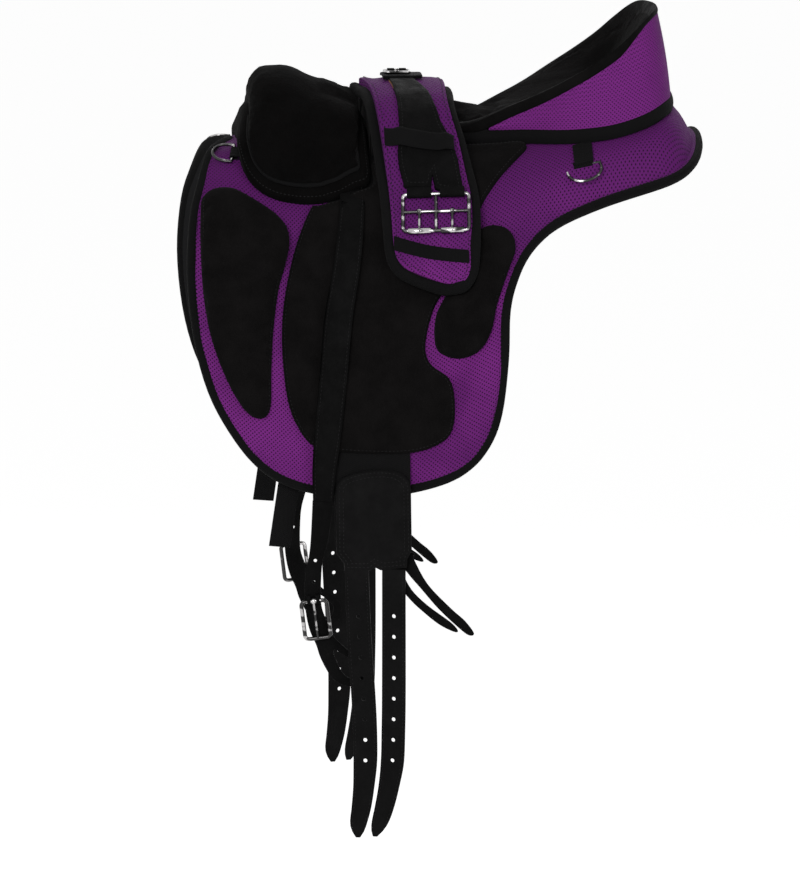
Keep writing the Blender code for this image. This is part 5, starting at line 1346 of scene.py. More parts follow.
# For each material: slot of the frame, maker, colour, share of it, and the maker's own numbers
LOOKS = {
    "purple air mesh": ("purple_air_mesh", make_air_mesh, "purple", 1.0),
    # The wall mesh is the air mesh without the painted shade near the spine
    "purple wall mesh": ("purple_air_mesh", make_air_mesh, "purple", 1.0, False),
    "black suede": ("black_suede", make_suede, "suede", 1.0),
    # The pommel and seat suede are darker copies of the suede, as painted shade on their upward faces
    "pommel suede": ("black_suede", make_suede, "suede", 0.5),
    "seat suede": ("black_suede", make_suede, "suede", 0.6),
    "black leather": ("black_leather", make_leather, "leather", 1.0, 0.55),
    "dark leather": ("black_leather", make_leather, "leather", 0.5, 0.60),
    "seat rim leather": ("black_tape", make_leather, "suede", 0.6, 0.70),
    "raw leather edge": ("black_leather", make_plain, "raw_edge", 1.0, 0.8, 1400.0, 0.0002),
    "black binding tape": ("black_tape", make_tape, "tape", 1.0, 0.0016),
    "black webbing": ("black_webbing", make_webbing, "webbing", 1.0, 0.0022),
    "bright steel": ("bright_steel", make_steel, "steel", 1.0),
    "black thread": ("black_tape", make_plain, "thread", 1.0, 0.6, 3000.0, 0.0001),
    "black lining": ("black_lining", make_plain, "lining", 1.0, 0.85, 900.0, 0.0003),
}


def material(name):
    """The named material, made when it is first asked for."""
    if name not in bpy.data.materials:
        _, maker, colour, share, *numbers = LOOKS[name]
        maker(name, shade(getattr(bpy.context.scene.saddle_colours, colour), share), *numbers)
    return bpy.data.materials[name]


def sew(name, *rows, body="saddle"):
    """Rows of stitches, as one piece."""
    sizes = bpy.context.scene.saddle_sizes
    bm = stitch_mesh(rows, sizes.stitch_pitch, sizes.stitch, sizes.thread)
    keep(new_object(name, bm, ["black thread"]), body=body)


# Panel

class SADDLE_OT_panel(bpy.types.Operator):
    """Padded panel with its lining and bound edge"""
    bl_idname = "saddle.panel"
    bl_label = "Panel"

    def execute(self, context):
        cell = context.scene.saddle_sizes.cell
        inner = inset_line(PANEL_OUTLINE, BINDING_WIDTH * BINDING_OVERLAP)
        keep(laid_piece("panel_padding", inner, level(LINING_THICK + FIT),
                        lambda x, s, low: panel_top(x, s) + wrinkles(x, s, *PANEL_RIPPLES),
                        ["purple air mesh"], PANEL_RINGS, cell * 1.3),
             ("panel_cover", "panel_foam"))
        keep(laid_piece("panel_underside", inner, level(0.0), lambda x, s, low: low + LINING_THICK,
                        ["black lining"], pitch=cell * 2), ("panel_lining",))
        keep(bead("panel_edge", PANEL_OUTLINE, level(BINDING_LIFT), BINDING_WIDTH, BINDING_THICK,
                  BINDING_WIDTH / 2, "black binding tape", 14, 2.6), ("panel_binding",))
        sew("panel_edge_stitches",
            drape_row(PANEL_OUTLINE, BINDING_WIDTH * BINDING_SEAM, level(BINDING_TOP)))
        return {"FINISHED"}


# Pommel

def flange_top(x, s):
    return resting(x, s) + flange_thick(s, edge_depth(x, s, POMMEL_OUTLINE))


def from_front_ring(x, s):
    return np.hypot(x - FRONT_RING_X, np.abs(s) - FRONT_RING_S)


class SADDLE_OT_pommel(bpy.types.Operator):
    """Pommel: lower flange, roll, piping and the loops of the front rings"""
    bl_idname = "saddle.pommel"
    bl_label = "Pommel"

    def execute(self, context):
        sizes = context.scene.saddle_sizes

        def creased(x, s, height):
            return wrinkles(x, s * 0.6, 0.030, sizes.fold, 7.0) * height

        def flange_high(x, s, low):
            depth = edge_depth(x, s, POMMEL_OUTLINE)
            calm = ease(from_front_ring(x, s) / RING_CALM)
            brow = ease((BROW_X - x) / BROW_RUN) * np.exp(-(s / BROW_WIDTH) ** 2) * ease(depth / 0.006)
            folds = creased(x, s, ease(depth / 0.008) * 0.6 * calm)
            sunk = RING_SINK * (1.0 - calm) * ease(depth / 0.004)
            return low + flange_thick(s, depth) + BROW_RISE * brow + folds - sunk

        # The edge keeps clear of the turning front rings
        inside = unit(np.array(TRIM_CENTRE) - POMMEL_OUTLINE)
        trim = RING_TRIM * np.exp(-(from_front_ring(*POMMEL_OUTLINE.T) / RING_TRIM_REACH) ** 2)
        keep(laid_piece("pommel_skirt", POMMEL_OUTLINE + inside * trim[:, None], resting,
                        flange_high, ["pommel suede"], FLANGE_RINGS, sizes.cell),
             ("pommel_flange",))

        def roll_high(x, s, low):
            depth = edge_depth(x, s, ROLL_OUTLINE)
            thick = roll_thick(x, s, depth)
            full = roll_thick(x, s, ROLL_ROUND) - thick
            filled = (SHOULDER_FILL * ease((x - SHOULDER_X) / FILL_RUN)
                      + FRONT_FILL * ease((FRONT_FILL_X - x) / FILL_RUN))
            room = ROLL_SINK * ease(depth / 0.012)
            folds = creased(x, s, ease(depth / 0.010))
            return low + thick + full * filled * np.exp(-(s / FILL_WIDTH) ** 2) + folds - room

        pushed = ROLL_OUTLINE.copy()
        push = ease((pushed[:, 0] - PUSH_X) / PUSH_RUN) * np.exp(-(pushed[:, 1] / FILL_WIDTH) ** 2)
        pushed[:, 0] += SHOULDER_PUSH * push
        roll = laid_piece("pommel_top", pushed, lambda x, s: flange_top(x, s) - 0.001, roll_high,
                          ["pommel suede"], ROLL_RINGS, sizes.cell)
        swell(roll, ROLL_SWELL)
        keep(roll, ("pommel_roll",))
        keep(bead("pommel_piping", ROLL_OUTLINE, lambda x, s: flange_top(x, s) + sizes.piping * 0.3,
                  sizes.piping, sizes.piping, 0.0, "black binding tape"))
        sew("pommel_stitches", drape_row(POMMEL_OUTLINE, 0.0035, lambda x, s: flange_top(x, s) + THREAD_LIFT))
        for side, name in SIDES:
            ring_loop("front_ring_loop_" + name, RING_TAB_WIDTH * FRONT_RING_SHARE,
                      ring_frame("front_d_ring_" + name, side))
        return {"FINISHED"}


# Seat

def rim_drop(x):
    """How far the rim comes down the outside of the seat."""
    full = ease((x - RIM_START) / (GUSSET_START - RIM_START))
    return RIM_DROP * full * (1.0 - 0.75 * ease((x - 0.185) / 0.045))


def seat_loop(start):
    """Outline of the seat behind a place, the ways into and out of the seat, its feet and its tops."""
    line = even_line(SEAT_ROUND, OUTLINE_PITCH, closed=False)
    inward = inward_of(line, unit(np.gradient(line, axis=0)))
    behind = line[:, 0] > start
    line, inward = line[behind], inward[behind]
    return line, inward, np.pad(-inward, ((0, 0), (0, 1))), seat_foot(*line.T), seat_top(*line.T)


def strip_mesh(columns):
    """Closed solid through columns of points, with its run and girth as its map."""
    bm = bmesh.new()
    uv = bm.loops.layers.uv.new("drape")
    rows = [[bm.verts.new(point) for point in section] for section in np.stack(columns, axis=1)]
    run = 0.0
    for left, right in zip(rows, rows[1:]):
        after = run + (right[0].co - left[0].co).length
        girth = 0.0
        for k in range(len(left)):
            rise = girth + (left[k].co - left[k - 1].co).length
            add_face(bm, uv, (left[k - 1], left[k], right[k], right[k - 1]),
                     ((run, girth), (run, rise), (after, rise), (after, girth)))
            girth = rise
        run = after
    bm.faces.new(rows[0])
    bm.faces.new(rows[-1][::-1])
    bmesh.ops.recalc_face_normals(bm, faces=bm.faces[:])
    return bm


class SADDLE_OT_seat(bpy.types.Operator):
    """Dished seat, its rim, the mesh wall of the cantle and the band at its foot"""
    bl_idname = "saddle.seat"
    bl_label = "Seat"

    def execute(self, context):
        sizes = context.scene.saddle_sizes

        def high(x, s, low):
            top = seat_top(x, s)
            depth = edge_depth(x, np.abs(s), SEAT_SIDE, closed=False)
            fold = wrinkles(x * 0.5, s * 1.2, 0.028, sizes.fold * 1.1, 11.0)
            rim = 1.0 - ease((depth - SEAT_SKIN) / RIM_WIDTH)
            top[:, 2] += fold * (1.0 - rim) - RIM_SINK * rim
            return top

        inner = inset_line(even_line(SEAT_ROUND, OUTLINE_PITCH), SEAT_SKIN)
        seat = laid_piece("seat_cushion", inner, seat_foot, high, ["seat suede"], SEAT_RINGS,
                          sizes.cell)
        swell(seat, PADDING_SWELL)
        keep(seat, ("seat_foam", "seat_cover"))
        self.rim()
        self.wall("cantle_wall", GUSSET_START, "purple wall mesh", "cantle_gusset", True)
        self.wall("seat_foot_band", SEAT_FRONT + 0.003, "black binding tape", "seat_band", False)
        return {"FINISHED"}

    def rim(self):
        line, inward, out, foot, top = seat_loop(RIM_START - 0.03)
        drop = rim_drop(line[:, 0]) + SEAT_SKIN
        down = (foot - top) / np.maximum((top[:, 2] - foot[:, 2])[:, None], 1e-6)
        columns = [top + down * (drop * share)[:, None] + out * (RIM_BELLY * math.sin(math.pi * share))
                   for share in (1.0, 0.8, 0.6, 0.4, 0.2)]
        for share in np.linspace(0.0, 1.0, 9):
            points = seat_top(*(line + inward * RIM_WIDTH * share).T)
            puff = RIM_PUFF * math.sin(math.pi * min(share * 1.2, 1.0)) + RIM_PROUD
            points[:, 2] += puff - RIM_FALL * share ** 3
            columns.append(points)
        columns += [seat_top(*(line + inward * RIM_WIDTH).T) - (0.0, 0.0, RIM_UNDER),
                    columns[0] - out * RIM_BACK]
        keep(new_object("seat_rim", strip_mesh(columns), ["seat rim leather"], 60.0))

    def wall(self, name, start, look, node, upper):
        line, _, out, foot, top = seat_loop(start)
        ceiling = top[:, 2] - WALL_GAP - rim_drop(line[:, 0])
        floor = foot[:, 2] + FOOT_GAP
        band = np.where(line[:, 0] > GUSSET_START, np.minimum(floor + SEAT_BAND, ceiling), ceiling)
        low, high = (band, np.maximum(ceiling, band + FOOT_GAP)) if upper else (floor, band)
        puff, sunk = WALL_PUFFS[upper]
        columns = []
        for k in range(9):
            height = low + (high - low) * k / 8
            share = ((height - foot[:, 2]) / (top[:, 2] - foot[:, 2]))[:, None]
            columns.append(foot + (top - foot) * share + out * (puff * math.sin(math.pi * k / 8) - sunk))
        columns += [columns[8] - out * WALL_THICK, columns[0] - out * WALL_THICK]
        keep(new_object(name, strip_mesh(columns), [look], 60.0), (node,))


# Suede on the flap

class SADDLE_OT_flap_suede(bpy.types.Operator):
    """Centre patch, knee roll and thigh block on each flap"""
    bl_idname = "saddle.flap_suede"
    bl_label = "Flap suede"

    def execute(self, context):
        for side, name in SIDES:
            for kind, shares, measures, fill, rings in (
                    ("centre_patch", PATCH_SHARES, PATCH_SIZES, 0.35, (0.0008, 0.002, 0.004)),
                    ("knee_roll", KNEE_SHARES, KNEE_SIZES, 0.85, (0.001, 0.003, 0.006)),
                    ("thigh_block", THIGH_SHARES, THIGH_SIZES, 0.7, (0.001, 0.003, 0.006))):
                outline = flap_outline(shares, side)
                item = self.suede(context.scene.saddle_sizes, side, name, kind, outline, measures, rings)
                keep(item, (kind + "_" + name,))
        return {"FINISHED"}

    def suede(self, sizes, side, name, kind, outline, measures, rings):
        thick, edge, width = measures

        def full(depth):
            return crown(depth, edge * 0.5, thick, width)

        def high(x, s, low):
            depth = edge_depth(x, s, outline)
            fold = wrinkles(x, s, 0.036, sizes.fold * 0.7, 21.0)
            seam = patch_seams(x, s * side) if kind == "centre_patch" else 0.0
            return low + full(depth) + fold * ease(depth / width) - seam

        item = laid_piece(kind + "_pad_" + name, outline, resting, high, ["black suede"], rings, sizes.cell)
        if kind != "centre_patch":
            swell(item, PADDING_SWELL)
        row = drape_row(outline, SUEDE_SEAM,
                        lambda x, s: resting(x, s) + full(edge_depth(x, s, outline)) + THREAD_LIFT)
        sew(kind + "_stitches_" + name, row)
        return item


def patch_seams(x, s):
    """Depth of the sewn lines at places on the near flap."""
    away = np.min([edge_depth(x, s, line, closed=False) for line in SEAM_LINES], axis=0)
    return SEAM_DEPTH * (1.0 - ease(away / SEAM_WIDTH))


# Girth parts

class SADDLE_OT_girth(bpy.types.Operator):
    """Girth web over the panel, billet plates and billets"""
    bl_idname = "saddle.girth"
    bl_label = "Girth"

    def execute(self, context):
        rounding = context.scene.saddle_sizes.leather_edge
        ends = ((WEB_FRONT, -WEB_DROP), (WEB_REAR, -WEB_DROP), (WEB_REAR, WEB_DROP), (WEB_FRONT, WEB_DROP))
        keep(laid_piece("girth_webbing", even_line(ends, 0.006), Solid("girth_web").face(False),
                        lambda x, s, low: low + WEB_THICK, ["black webbing"], pitch=0.010), ("girth_web",))
        for side, name in SIDES:
            self.plate(side, name, rounding)
            for place, shape in BILLETS:
                self.billet(side, "billet_%s_%s" % (place, name), shape, rounding)
        return {"FINISHED"}

    def plate(self, side, name, rounding):
        outline = [(PLATE_FRONT + x * PLATE_WIDTH, side * (PLATE_TOP + s * PLATE_HEIGHT + (s > 0.96) * LIP))
                   for x, s in PLATE_SHARES]
        solid = Solid("billet_plate_" + name)
        keep(laid_piece("girth_plate_" + name, outline, solid.face(False),
                        edged(outline, PLATE_THICK, rounding, 0.002), ["black leather"],
                        (0.0004, 0.0012, 0.0022)), ("billet_plate_" + name,))
        sew("girth_plate_stitches_" + name,
            *(drape_row(outline, depth, solid.face(True, more=THREAD_LIFT)) for depth in (0.0034, 0.0075)))

    def billet(self, side, child, shape, rounding):
        shares = np.linspace(0.0, 1.0, 49)
        middle = BILLET_BOW * read_curve(shape, shares)
        half = BILLET_WIDTH / 2 * read_curve(BILLET_TIP_SHARES, shares)
        down = -shares * BILLET_LENGTH + (shares == 0.0) * BILLET_THICK / 2
        outline = [*zip(middle - half, down), *reversed([*zip(middle + half, down)])]
        spots = BILLET_FIRST_HOLE + np.arange(BILLET_HOLE_COUNT) * BILLET_HOLE_PITCH
        holes = [circle(BILLET_BOW * read_curve(shape, spot / BILLET_LENGTH), -spot, BILLET_HOLE, 14)
                 for spot in spots]
        matrix = hang("girth_" + child, outline, BILLET_THICK, holes, child, side, "black leather", rounding)
        rows = [[(matrix @ Vector((a, -share * BILLET_LENGTH, BILLET_THICK / 2)), matrix.col[2].to_3d())
                 for a, share in zip(middle + sign * (half - 0.0026), shares) if 0.02 < share < 0.96]
                for sign in (-1, 1)]
        sew(child.replace("billet", "girth_billet_stitches"), *rows, body=child)


# Side straps

def strap_edge(share, sign):
    reach = read_curve([(place, out) for place, out, _ in STRAP_SHARES], share)
    width = STRAP_WIDTH * read_curve([(place, wide) for place, _, wide in STRAP_SHARES], share)
    return STRAP_START_X - STRAP_REACH * reach + sign * width / 2


class SADDLE_OT_side_straps(bpy.types.Operator):
    """Front strap with its tail and buckle fold, tie strap and webbing tab"""
    bl_idname = "saddle.side_straps"
    bl_label = "Side straps"

    def execute(self, context):
        rounding = context.scene.saddle_sizes.leather_edge
        half = TAB_WIDTH / 2
        tab = ((-half, 0.0), (half, 0.0), (half - TAB_LEAN, -TAB_LENGTH),
               (-half - TAB_LEAN, -TAB_LENGTH + TAB_THICK))
        tie = smooth_line(scaled(TIE_SHARES, TIE_REACH), False)
        tail = [(a, b + (b == 0.0) * STRAP_THICK / 2)
                for a, b in smooth_line(scaled(TAIL_OUTLINE_SHARES, TAIL_LENGTH), False)]
        holes = [smooth_line(scaled(TAIL_OPENING_SHARES, TAIL_LENGTH), True)]
        holes += [circle(a, b, TAIL_HOLE) for a, b in scaled(TAIL_HOLES_SHARES, TAIL_LENGTH)]
        for side, name in SIDES:
            self.strap(side, name, rounding)
            child = "front_strap_tail_" + name
            hang("side_strap_tail_" + name, tail, STRAP_THICK, holes, child, side, "dark leather", rounding)
            fold = fold_mesh(STRAP_BUCKLE_WIDTH / 2, STRAP_BUCKLE_WIRE, STRAP_BUCKLE_HEIGHT / 2,
                             strap_buckle_frame(name, side))
            keep(new_object("side_strap_fold_" + name, fold, ["dark leather"]), body=child)
            hang("tie_tails_" + name, tie, TIE_THICK, (), "tie_strap_" + name, side, "dark leather", rounding)
            hang("side_tab_" + name, tab, TAB_THICK, (), "webbing_tab_" + name, side, "black webbing",
                 rounding * TAB_ROUNDING)
        return {"FINISHED"}

    def strap(self, side, name, rounding):
        run = STRAP_LOW - STRAP_TOP
        shares = np.linspace(-0.075, 1.0 + LIP / run, 60)
        front, rear = (np.stack([strap_edge(shares, sign), side * (STRAP_TOP + shares * run)], axis=1)
                       for sign in (-1, 1))
        outline = np.vstack([front, rear[::-1]])
        solid = Solid("front_strap_" + name)

        def under(x, s):
            return solid.lift(x, s, False, 0.0) - 0.005 * ease((STRAP_TOP - np.abs(s)) / 0.010)

        keep(laid_piece("side_strap_" + name, outline, under, edged(outline, STRAP_THICK, rounding),
                        ["dark leather"], LEATHER_RINGS), ("front_strap_" + name,))
        sew("side_strap_stitches_" + name,
            *(drape_row(edge + (inset, 0.0), 0.0, lambda x, s: under(x, s) + STRAP_THICK + THREAD_LIFT, False)
              for edge, inset in ((front, 0.0030), (rear, -0.0030))))


# Stirrup pad

class SADDLE_OT_stirrup_pad(bpy.types.Operator):
    """Mesh pad over the spine with its binding, the stirrup strap and its keepers"""
    bl_idname = "saddle.stirrup_pad"
    bl_label = "Stirrup pad"

    def execute(self, context):
        sizes = context.scene.saddle_sizes
        solid = Solid("stirrup_pad", "stirrup_pad_binding")
        inner = inset_line(PAD_OUTLINE, PAD_BINDING * 0.95)

        def front_rise(x, s):
            return PAD_RISE * ease((PAD_RISE_X - x) / PAD_RISE_RUN) * np.exp(-(s / PAD_RISE_WIDTH) ** 2)

        def high(x, s, low):
            depth = edge_depth(x, s, inner)
            puff = wrinkles(x, s, *PAD_RIPPLES)
            rise = front_rise(x, s) + PAD_PUFF * ease(depth / 0.012) + puff * ease(depth / 0.02)
            return solid.lift(x, s, True, PAD_BLUR) + rise

        def middle(x, s):
            faces = solid.lift(x, s, True, EDGE_BLUR) + solid.lift(x, s, False, EDGE_BLUR)
            return 0.5 * faces + front_rise(x, s)

        def seam(x, s):
            return solid.lift(x, s, True, EDGE_BLUR) + 2 * THREAD_LIFT + front_rise(x, s)

        keep(laid_piece("stirrup_mesh_pad", inner, solid.face(False, PAD_BLUR), high, ["purple air mesh"],
                        PAD_RINGS, sizes.cell), ("stirrup_pad",))
        width = PAD_BINDING * 1.3
        keep(bead("stirrup_pad_edge", inset_line(PAD_OUTLINE, 0.0010), middle, width, PAD_EDGE_THICK,
                  width / 2 - 0.0010, "black binding tape", 12, 2.4), ("stirrup_pad_binding",))
        sew("stirrup_pad_stitches", drape_row(PAD_OUTLINE, width, seam))
        self.strap(solid, sizes.leather_edge)
        for side, name in SIDES:
            matrix = buckle_frame(name, side)
            folds = [fold_mesh(FOLD_WIDTH, BUCKLE_WIRE, BUCKLE_HEIGHT / 2, matrix, place, 0.0)
                     for place in (-BUCKLE_WIDTH / 4, BUCKLE_WIDTH / 4)]
            keep(new_object("stirrup_folds_" + name, joined(*folds), ["dark leather"]))
            for keeper in KEEPERS:
                self.keeper(side, name, *keeper)
        fold = fold_mesh(TOP_BUCKLE_WIDTH - 4 * TOP_BUCKLE_WIRE, TOP_BUCKLE_BAR, 0.0, top_buckle_frame())
        keep(new_object("stirrup_top_fold", fold, ["dark leather"]))
        return {"FINISHED"}

    def strap(self, pad, rounding):
        shares = from_shares(HANGER_SHARES, HANGER_FRONT, HANGER_WIDTH, HANGER_DROP)
        outline = even_line(both_halves(shares), FINE_PITCH)
        keep(laid_piece("stirrup_hanger", outline, pad.face(True, HANGER_BLUR, 0.0002),
                        edged(outline, HANGER_THICK, rounding), ["dark leather", "raw leather edge"],
                        LEATHER_RINGS, 0.005, lambda x, s: int(RAW_EDGE[0] < abs(s) < RAW_EDGE[1])),
             ("stirrup_strap",))
        sew("stirrup_hanger_stitches",
            drape_row(outline, 0.0038, pad.face(True, HANGER_BLUR, HANGER_THICK + 0.0003)))
        strip = even_line(CREST_STRIP, FINE_PITCH)
        keep(laid_piece("stirrup_crest_strip", strip, pad.face(True, HANGER_BLUR, HANGER_THICK - 0.0008),
                        edged(strip, CREST_STRIP_THICK, rounding), ["dark leather"], LEATHER_RINGS, 0.005))

    def keeper(self, side, name, label, front_x, front_s, rear_x, rear_s):
        edge = KEEPER_HEIGHT / 2
        ends = [(front_x, side * (front_s - edge)), (rear_x, side * (rear_s - edge)),
                (rear_x, side * (rear_s + edge)), (front_x, side * (front_s + edge))]
        outline = even_line(ends, 0.0025)
        node = "%s_keeper_%s" % (label, name)
        keep(laid_piece("stirrup_" + node, outline, Solid(node).face(False, KEEPER_BLUR),
                        lambda x, s, low: (low + KEEPER_THICK * 0.3
                                           + crown(edge_depth(x, s, outline), 0.0, KEEPER_THICK, 0.003)),
                        ["black binding tape"], (0.0008, 0.002), 0.003), (node,))


# Rings and buckles

def bush(inner, outer, length, chamfer):
    """Profile of a tube as (along, radius) pairs, with its outer edges taken off."""
    return ((0.0, inner), (0.0, outer - chamfer), (chamfer, outer), (length - chamfer, outer),
            (length, outer - chamfer), (length, inner))


def tongue_mesh(matrix, bar_rise, reach, wire_radius, place=0.0, rest=0.0):
    """Tongue curled round a bar, with a tapered prong that rests on the frame."""
    outer = wire_radius + GAP + TONGUE_WALL
    half = TONGUE_WIDTH / 2
    ring = turned(bush(wire_radius + GAP, outer, TONGUE_WIDTH, 0.0004), (place - half, bar_rise, 0.0),
                  (place + half, bar_rise, 0.0), matrix)
    top = wire_radius + rest + GAP + TONGUE_WIRE
    start = Vector((place, bar_rise - outer / 2, outer / 2))
    end = Vector((place, bar_rise - reach - wire_radius, top + GAP))
    length = (end - start).length
    prong = [(length * share, TONGUE_WIRE * wide) for share, wide in TONGUE_TAPER]
    prong = [(0.0, 0.0001), *prong, (length, 0.0001)]
    return joined(ring, turned(prong, start, end, matrix, 12))


class SADDLE_OT_hardware(bpy.types.Operator):
    """D-rings with their tabs, roller buckles, strap buckles and the top buckle"""
    bl_idname = "saddle.hardware"
    bl_label = "Rings and buckles"

    def execute(self, context):
        sides = context.scene.saddle_sizes.wire_sides
        for side, name in SIDES:
            self.rings(side, name, sides)
            self.double_buckle(side, name, sides)
            matrix = strap_buckle_frame(name, side)
            ring = wire_mesh(rounded_box(STRAP_BUCKLE_WIDTH, STRAP_BUCKLE_HEIGHT, BUCKLE_CORNER),
                             STRAP_BUCKLE_WIRE + 2 * GAP, True, matrix, sides)
            self.steel("side_buckle_" + name, ring, "strap_buckle_" + name, "front_strap_tail_" + name)
            child = "strap_tongue_" + name
            tongue = tongue_mesh(matrix, STRAP_BUCKLE_HEIGHT / 2, STRAP_BUCKLE_HEIGHT, STRAP_BUCKLE_WIRE)
            self.steel("side_buckle_prong_" + name, tongue, child, child)
        matrix = top_buckle_frame()
        half = TOP_BUCKLE_WIDTH / 2
        ring = wire_mesh(rounded_box(TOP_BUCKLE_WIDTH, TOP_BUCKLE_HEIGHT, BUCKLE_CORNER),
                         TOP_BUCKLE_WIRE, True, matrix, sides)
        middle = wire_mesh([(-half, 0.0), (half, 0.0)], TOP_BUCKLE_BAR, False, matrix, sides)
        self.steel("crest_buckle", joined(ring, middle), "top_buckle", "saddle")
        tongue = tongue_mesh(matrix, 0.0, TOP_BUCKLE_HEIGHT / 2, TOP_BUCKLE_BAR)
        self.steel("crest_buckle_prong", tongue, "top_tongue", "top_tongue")
        return {"FINISHED"}

    def steel(self, label, bm, node, body):
        keep(new_object(label, bm, ["bright steel"], 50.0), (node,), body=body)

    def rings(self, side, name, sides):
        for end, share in (("front", FRONT_RING_SHARE), ("rear", 1.0)):
            child = "%s_d_ring_%s" % (end, name)
            points = from_shares(smooth_line(RING_SHARES, True), 0.0, RING_WIDTH * share, RING_HEIGHT)
            ring = wire_mesh(points, RING_WIRE, True, ring_frame(child, side), sides)
            self.steel("ring_%s_%s" % (end, name), ring, child, child)
        ring_loop("rear_ring_loop_" + name, RING_TAB_WIDTH, ring_frame("rear_d_ring_" + name, side),
                  ("rear_ring_tab_" + name,))
        outline = [(REAR_RING_X + a * RING_TAB_WIDTH / 2, side * (REAR_RING_S + b))
                   for a, b in ((-1, -0.024), (1, -0.024), (1, 0.0015), (-1, 0.0015))]
        keep(laid_piece("rear_ring_strip_" + name, even_line(outline, 0.003),
                        lambda x, s: base_top(x, s) - 0.0005,
                        lambda x, s, low: low + 0.0005 + RING_TAB_THICK, ["black webbing"], pitch=0.004))

    def double_buckle(self, side, name, sides):
        matrix = buckle_frame(name, side)
        half, across = BUCKLE_HEIGHT / 2, BUCKLE_WIDTH / 2
        ring = wire_mesh(rounded_box(BUCKLE_WIDTH, BUCKLE_HEIGHT, BUCKLE_CORNER), BUCKLE_WIRE, True,
                         matrix, sides)
        divider = wire_mesh([(0.0, -half), (0.0, half)], BUCKLE_BAR, False, matrix, sides)
        middle = wire_mesh([(-across, BUCKLE_BAR_RISE), (across, BUCKLE_BAR_RISE)], BUCKLE_BAR, False,
                           matrix, sides)
        self.steel("stirrup_buckle_" + name, joined(ring, divider, middle), "double_buckle_" + name, "saddle")
        reach = across / 2 - BUCKLE_WIRE - BUCKLE_CORNER + 2 * GAP
        profile = bush(BUCKLE_WIRE + GAP, BUCKLE_WIRE + GAP + ROLLER_WALL, 2 * reach, 0.0003)
        for sign, end in ((-1, "front"), (1, "rear")):
            place = sign * across / 2
            roller = turned(profile, (place - reach, -half, 0.0), (place + reach, -half, 0.0), matrix,
                            sides * 2)
            tongue = tongue_mesh(matrix, BUCKLE_BAR_RISE, half + BUCKLE_BAR_RISE, BUCKLE_BAR, place,
                                 ROLLER_WALL + GAP)
            for kind, bm in (("roller", roller), ("tongue", tongue)):
                child = "%s_%s_%s" % (kind, end, name)
                self.steel("stirrup_" + child, bm, child, child)


# Stage

def make_lamp(name, place, aim, width, power):
    lamp = bpy.data.lights.new(name, "AREA")
    lamp.shape = "SQUARE"
    lamp.size = width
    lamp.energy = power
    item = bpy.data.objects.new(name, lamp)
    item.location = place
    item.rotation_euler = (Vector(aim) - Vector(place)).to_track_quat("-Z", "Y").to_euler()
    bpy.context.scene.collection.objects.link(item)


def seen_white(tree, plain, white):
    """Plain shading for what lights the object, white where the camera or steel sees it."""
    path = tree.nodes.new("ShaderNodeLightPath")
    share = path.outputs["Is Camera Ray"]
    for ray in ("Is Glossy Ray", "Is Transmission Ray"):
        add = tree.nodes.new("ShaderNodeMath")
        add.operation = "MAXIMUM"
        tree.links.new(share, add.inputs[0])
        tree.links.new(path.outputs[ray], add.inputs[1])
        share = add.outputs[0]
    mix = tree.nodes.new("ShaderNodeMixShader")
    tree.links.new(share, mix.inputs["Fac"])
    tree.links.new(plain, mix.inputs[1])
    tree.links.new(white, mix.inputs[2])
    return mix.outputs[0]


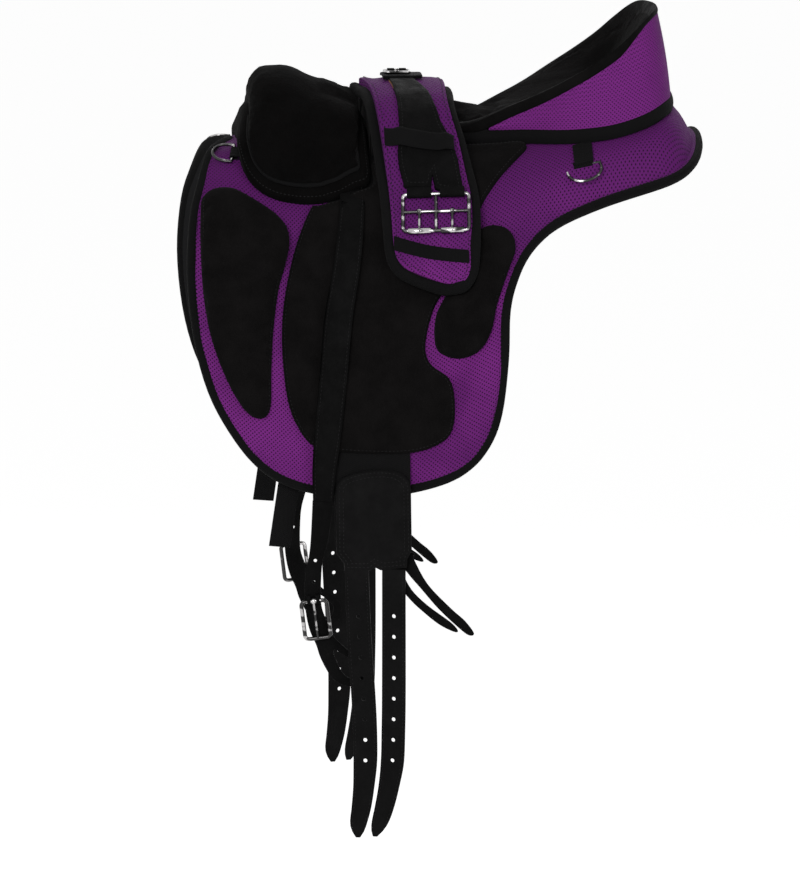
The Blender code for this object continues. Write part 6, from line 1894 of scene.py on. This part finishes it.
class SADDLE_OT_stage(bpy.types.Operator):
    """Pale floor, soft studio lamps, white surroundings and the camera of the photograph"""
    bl_idname = "saddle.stage"
    bl_label = "Stage"

    def execute(self, context):
        scene = context.scene
        scene.view_settings.view_transform = "Standard"
        bm = bmesh.new()
        bm.faces.new([bm.verts.new((x, y, FLOOR_Z)) for x, y in ((-40, -40), (40, -40), (40, 60), (-40, 60))])
        pale = Look("pale floor", 0.9)
        pale.fixed(Base_Color=(0.8, 0.8, 0.8, 1.0), Specular_IOR_Level=0.0)
        glow = pale.node("ShaderNodeEmission")
        glow.inputs["Strength"].default_value = FLOOR_GLOW
        both = pale.node("ShaderNodeAddShader")
        pale.link(pale.shader.outputs[0], both.inputs[0])
        pale.link(glow.outputs[0], both.inputs[1])
        pale.link(seen_white(pale.tree, pale.shader.outputs[0], both.outputs[0]),
                  pale.tree.nodes["Material Output"].inputs["Surface"])
        new_object("floor", bm, [pale.material.name])
        world = bpy.data.worlds.new("studio")
        scene.world = world
        world.use_nodes = True
        tree = world.node_tree
        plain = tree.nodes["Background"]
        plain.inputs["Color"].default_value = (1.0, 1.0, 1.0, 1.0)
        plain.inputs["Strength"].default_value = WORLD_LIGHT
        white = tree.nodes.new("ShaderNodeBackground")
        white.inputs["Color"].default_value = (1.0, 1.0, 1.0, 1.0)
        white.inputs["Strength"].default_value = 1.0
        tree.links.new(seen_white(tree, plain.outputs[0], white.outputs[0]),
                       tree.nodes["World Output"].inputs["Surface"])
        for lamp in LAMPS:
            make_lamp(*lamp)
        lens = bpy.data.cameras.new("photograph")
        lens.sensor_fit = "HORIZONTAL"
        lens.sensor_width = 36.0
        lens.lens = CAMERA_LENS
        camera = bpy.data.objects.new("photograph", lens)
        turn = math.radians(CAMERA_AZIMUTH)
        rise = math.radians(CAMERA_ELEVATION)
        aim = Vector(CAMERA_AIM)
        back = Vector((math.sin(turn) * math.cos(rise), -math.cos(turn) * math.cos(rise), math.sin(rise)))
        camera.location = aim + back * CAMERA_DISTANCE
        camera.rotation_euler = (-back).to_track_quat("-Z", "Y").to_euler()
        scene.collection.objects.link(camera)
        scene.camera = camera
        return {"FINISHED"}


# Sidebar panel

PIECES = (SADDLE_OT_panel, SADDLE_OT_pommel, SADDLE_OT_seat, SADDLE_OT_flap_suede, SADDLE_OT_girth,
          SADDLE_OT_side_straps, SADDLE_OT_stirrup_pad, SADDLE_OT_hardware, SADDLE_OT_stage)


class SADDLE_PT_panel(bpy.types.Panel):
    """Sizes, colours and pieces of the saddle"""
    bl_label = "Saddle"
    bl_idname = "SADDLE_PT_panel"
    bl_space_type = "VIEW_3D"
    bl_region_type = "UI"
    bl_category = "Saddle"

    def draw(self, context):
        layout = self.layout
        for group in (context.scene.saddle_sizes, context.scene.saddle_colours):
            for key in group.__annotations__:
                layout.prop(group, key)
        for piece in PIECES:
            layout.operator(piece.bl_idname)


CLASSES = (SaddleSizes, SaddleColours, *PIECES, SADDLE_PT_panel)


def register():
    for item in CLASSES:
        bpy.utils.register_class(item)
    bpy.types.Scene.saddle_sizes = PointerProperty(type=SaddleSizes)
    bpy.types.Scene.saddle_colours = PointerProperty(type=SaddleColours)


def unregister():
    del bpy.types.Scene.saddle_colours
    del bpy.types.Scene.saddle_sizes
    for item in reversed(CLASSES):
        bpy.utils.unregister_class(item)


def main():
    register()
    for piece in PIECES:
        getattr(bpy.ops.saddle, piece.bl_idname.split(".")[1])()
    bpy.context.view_layer.update()


if __name__ == "__main__":
    main()
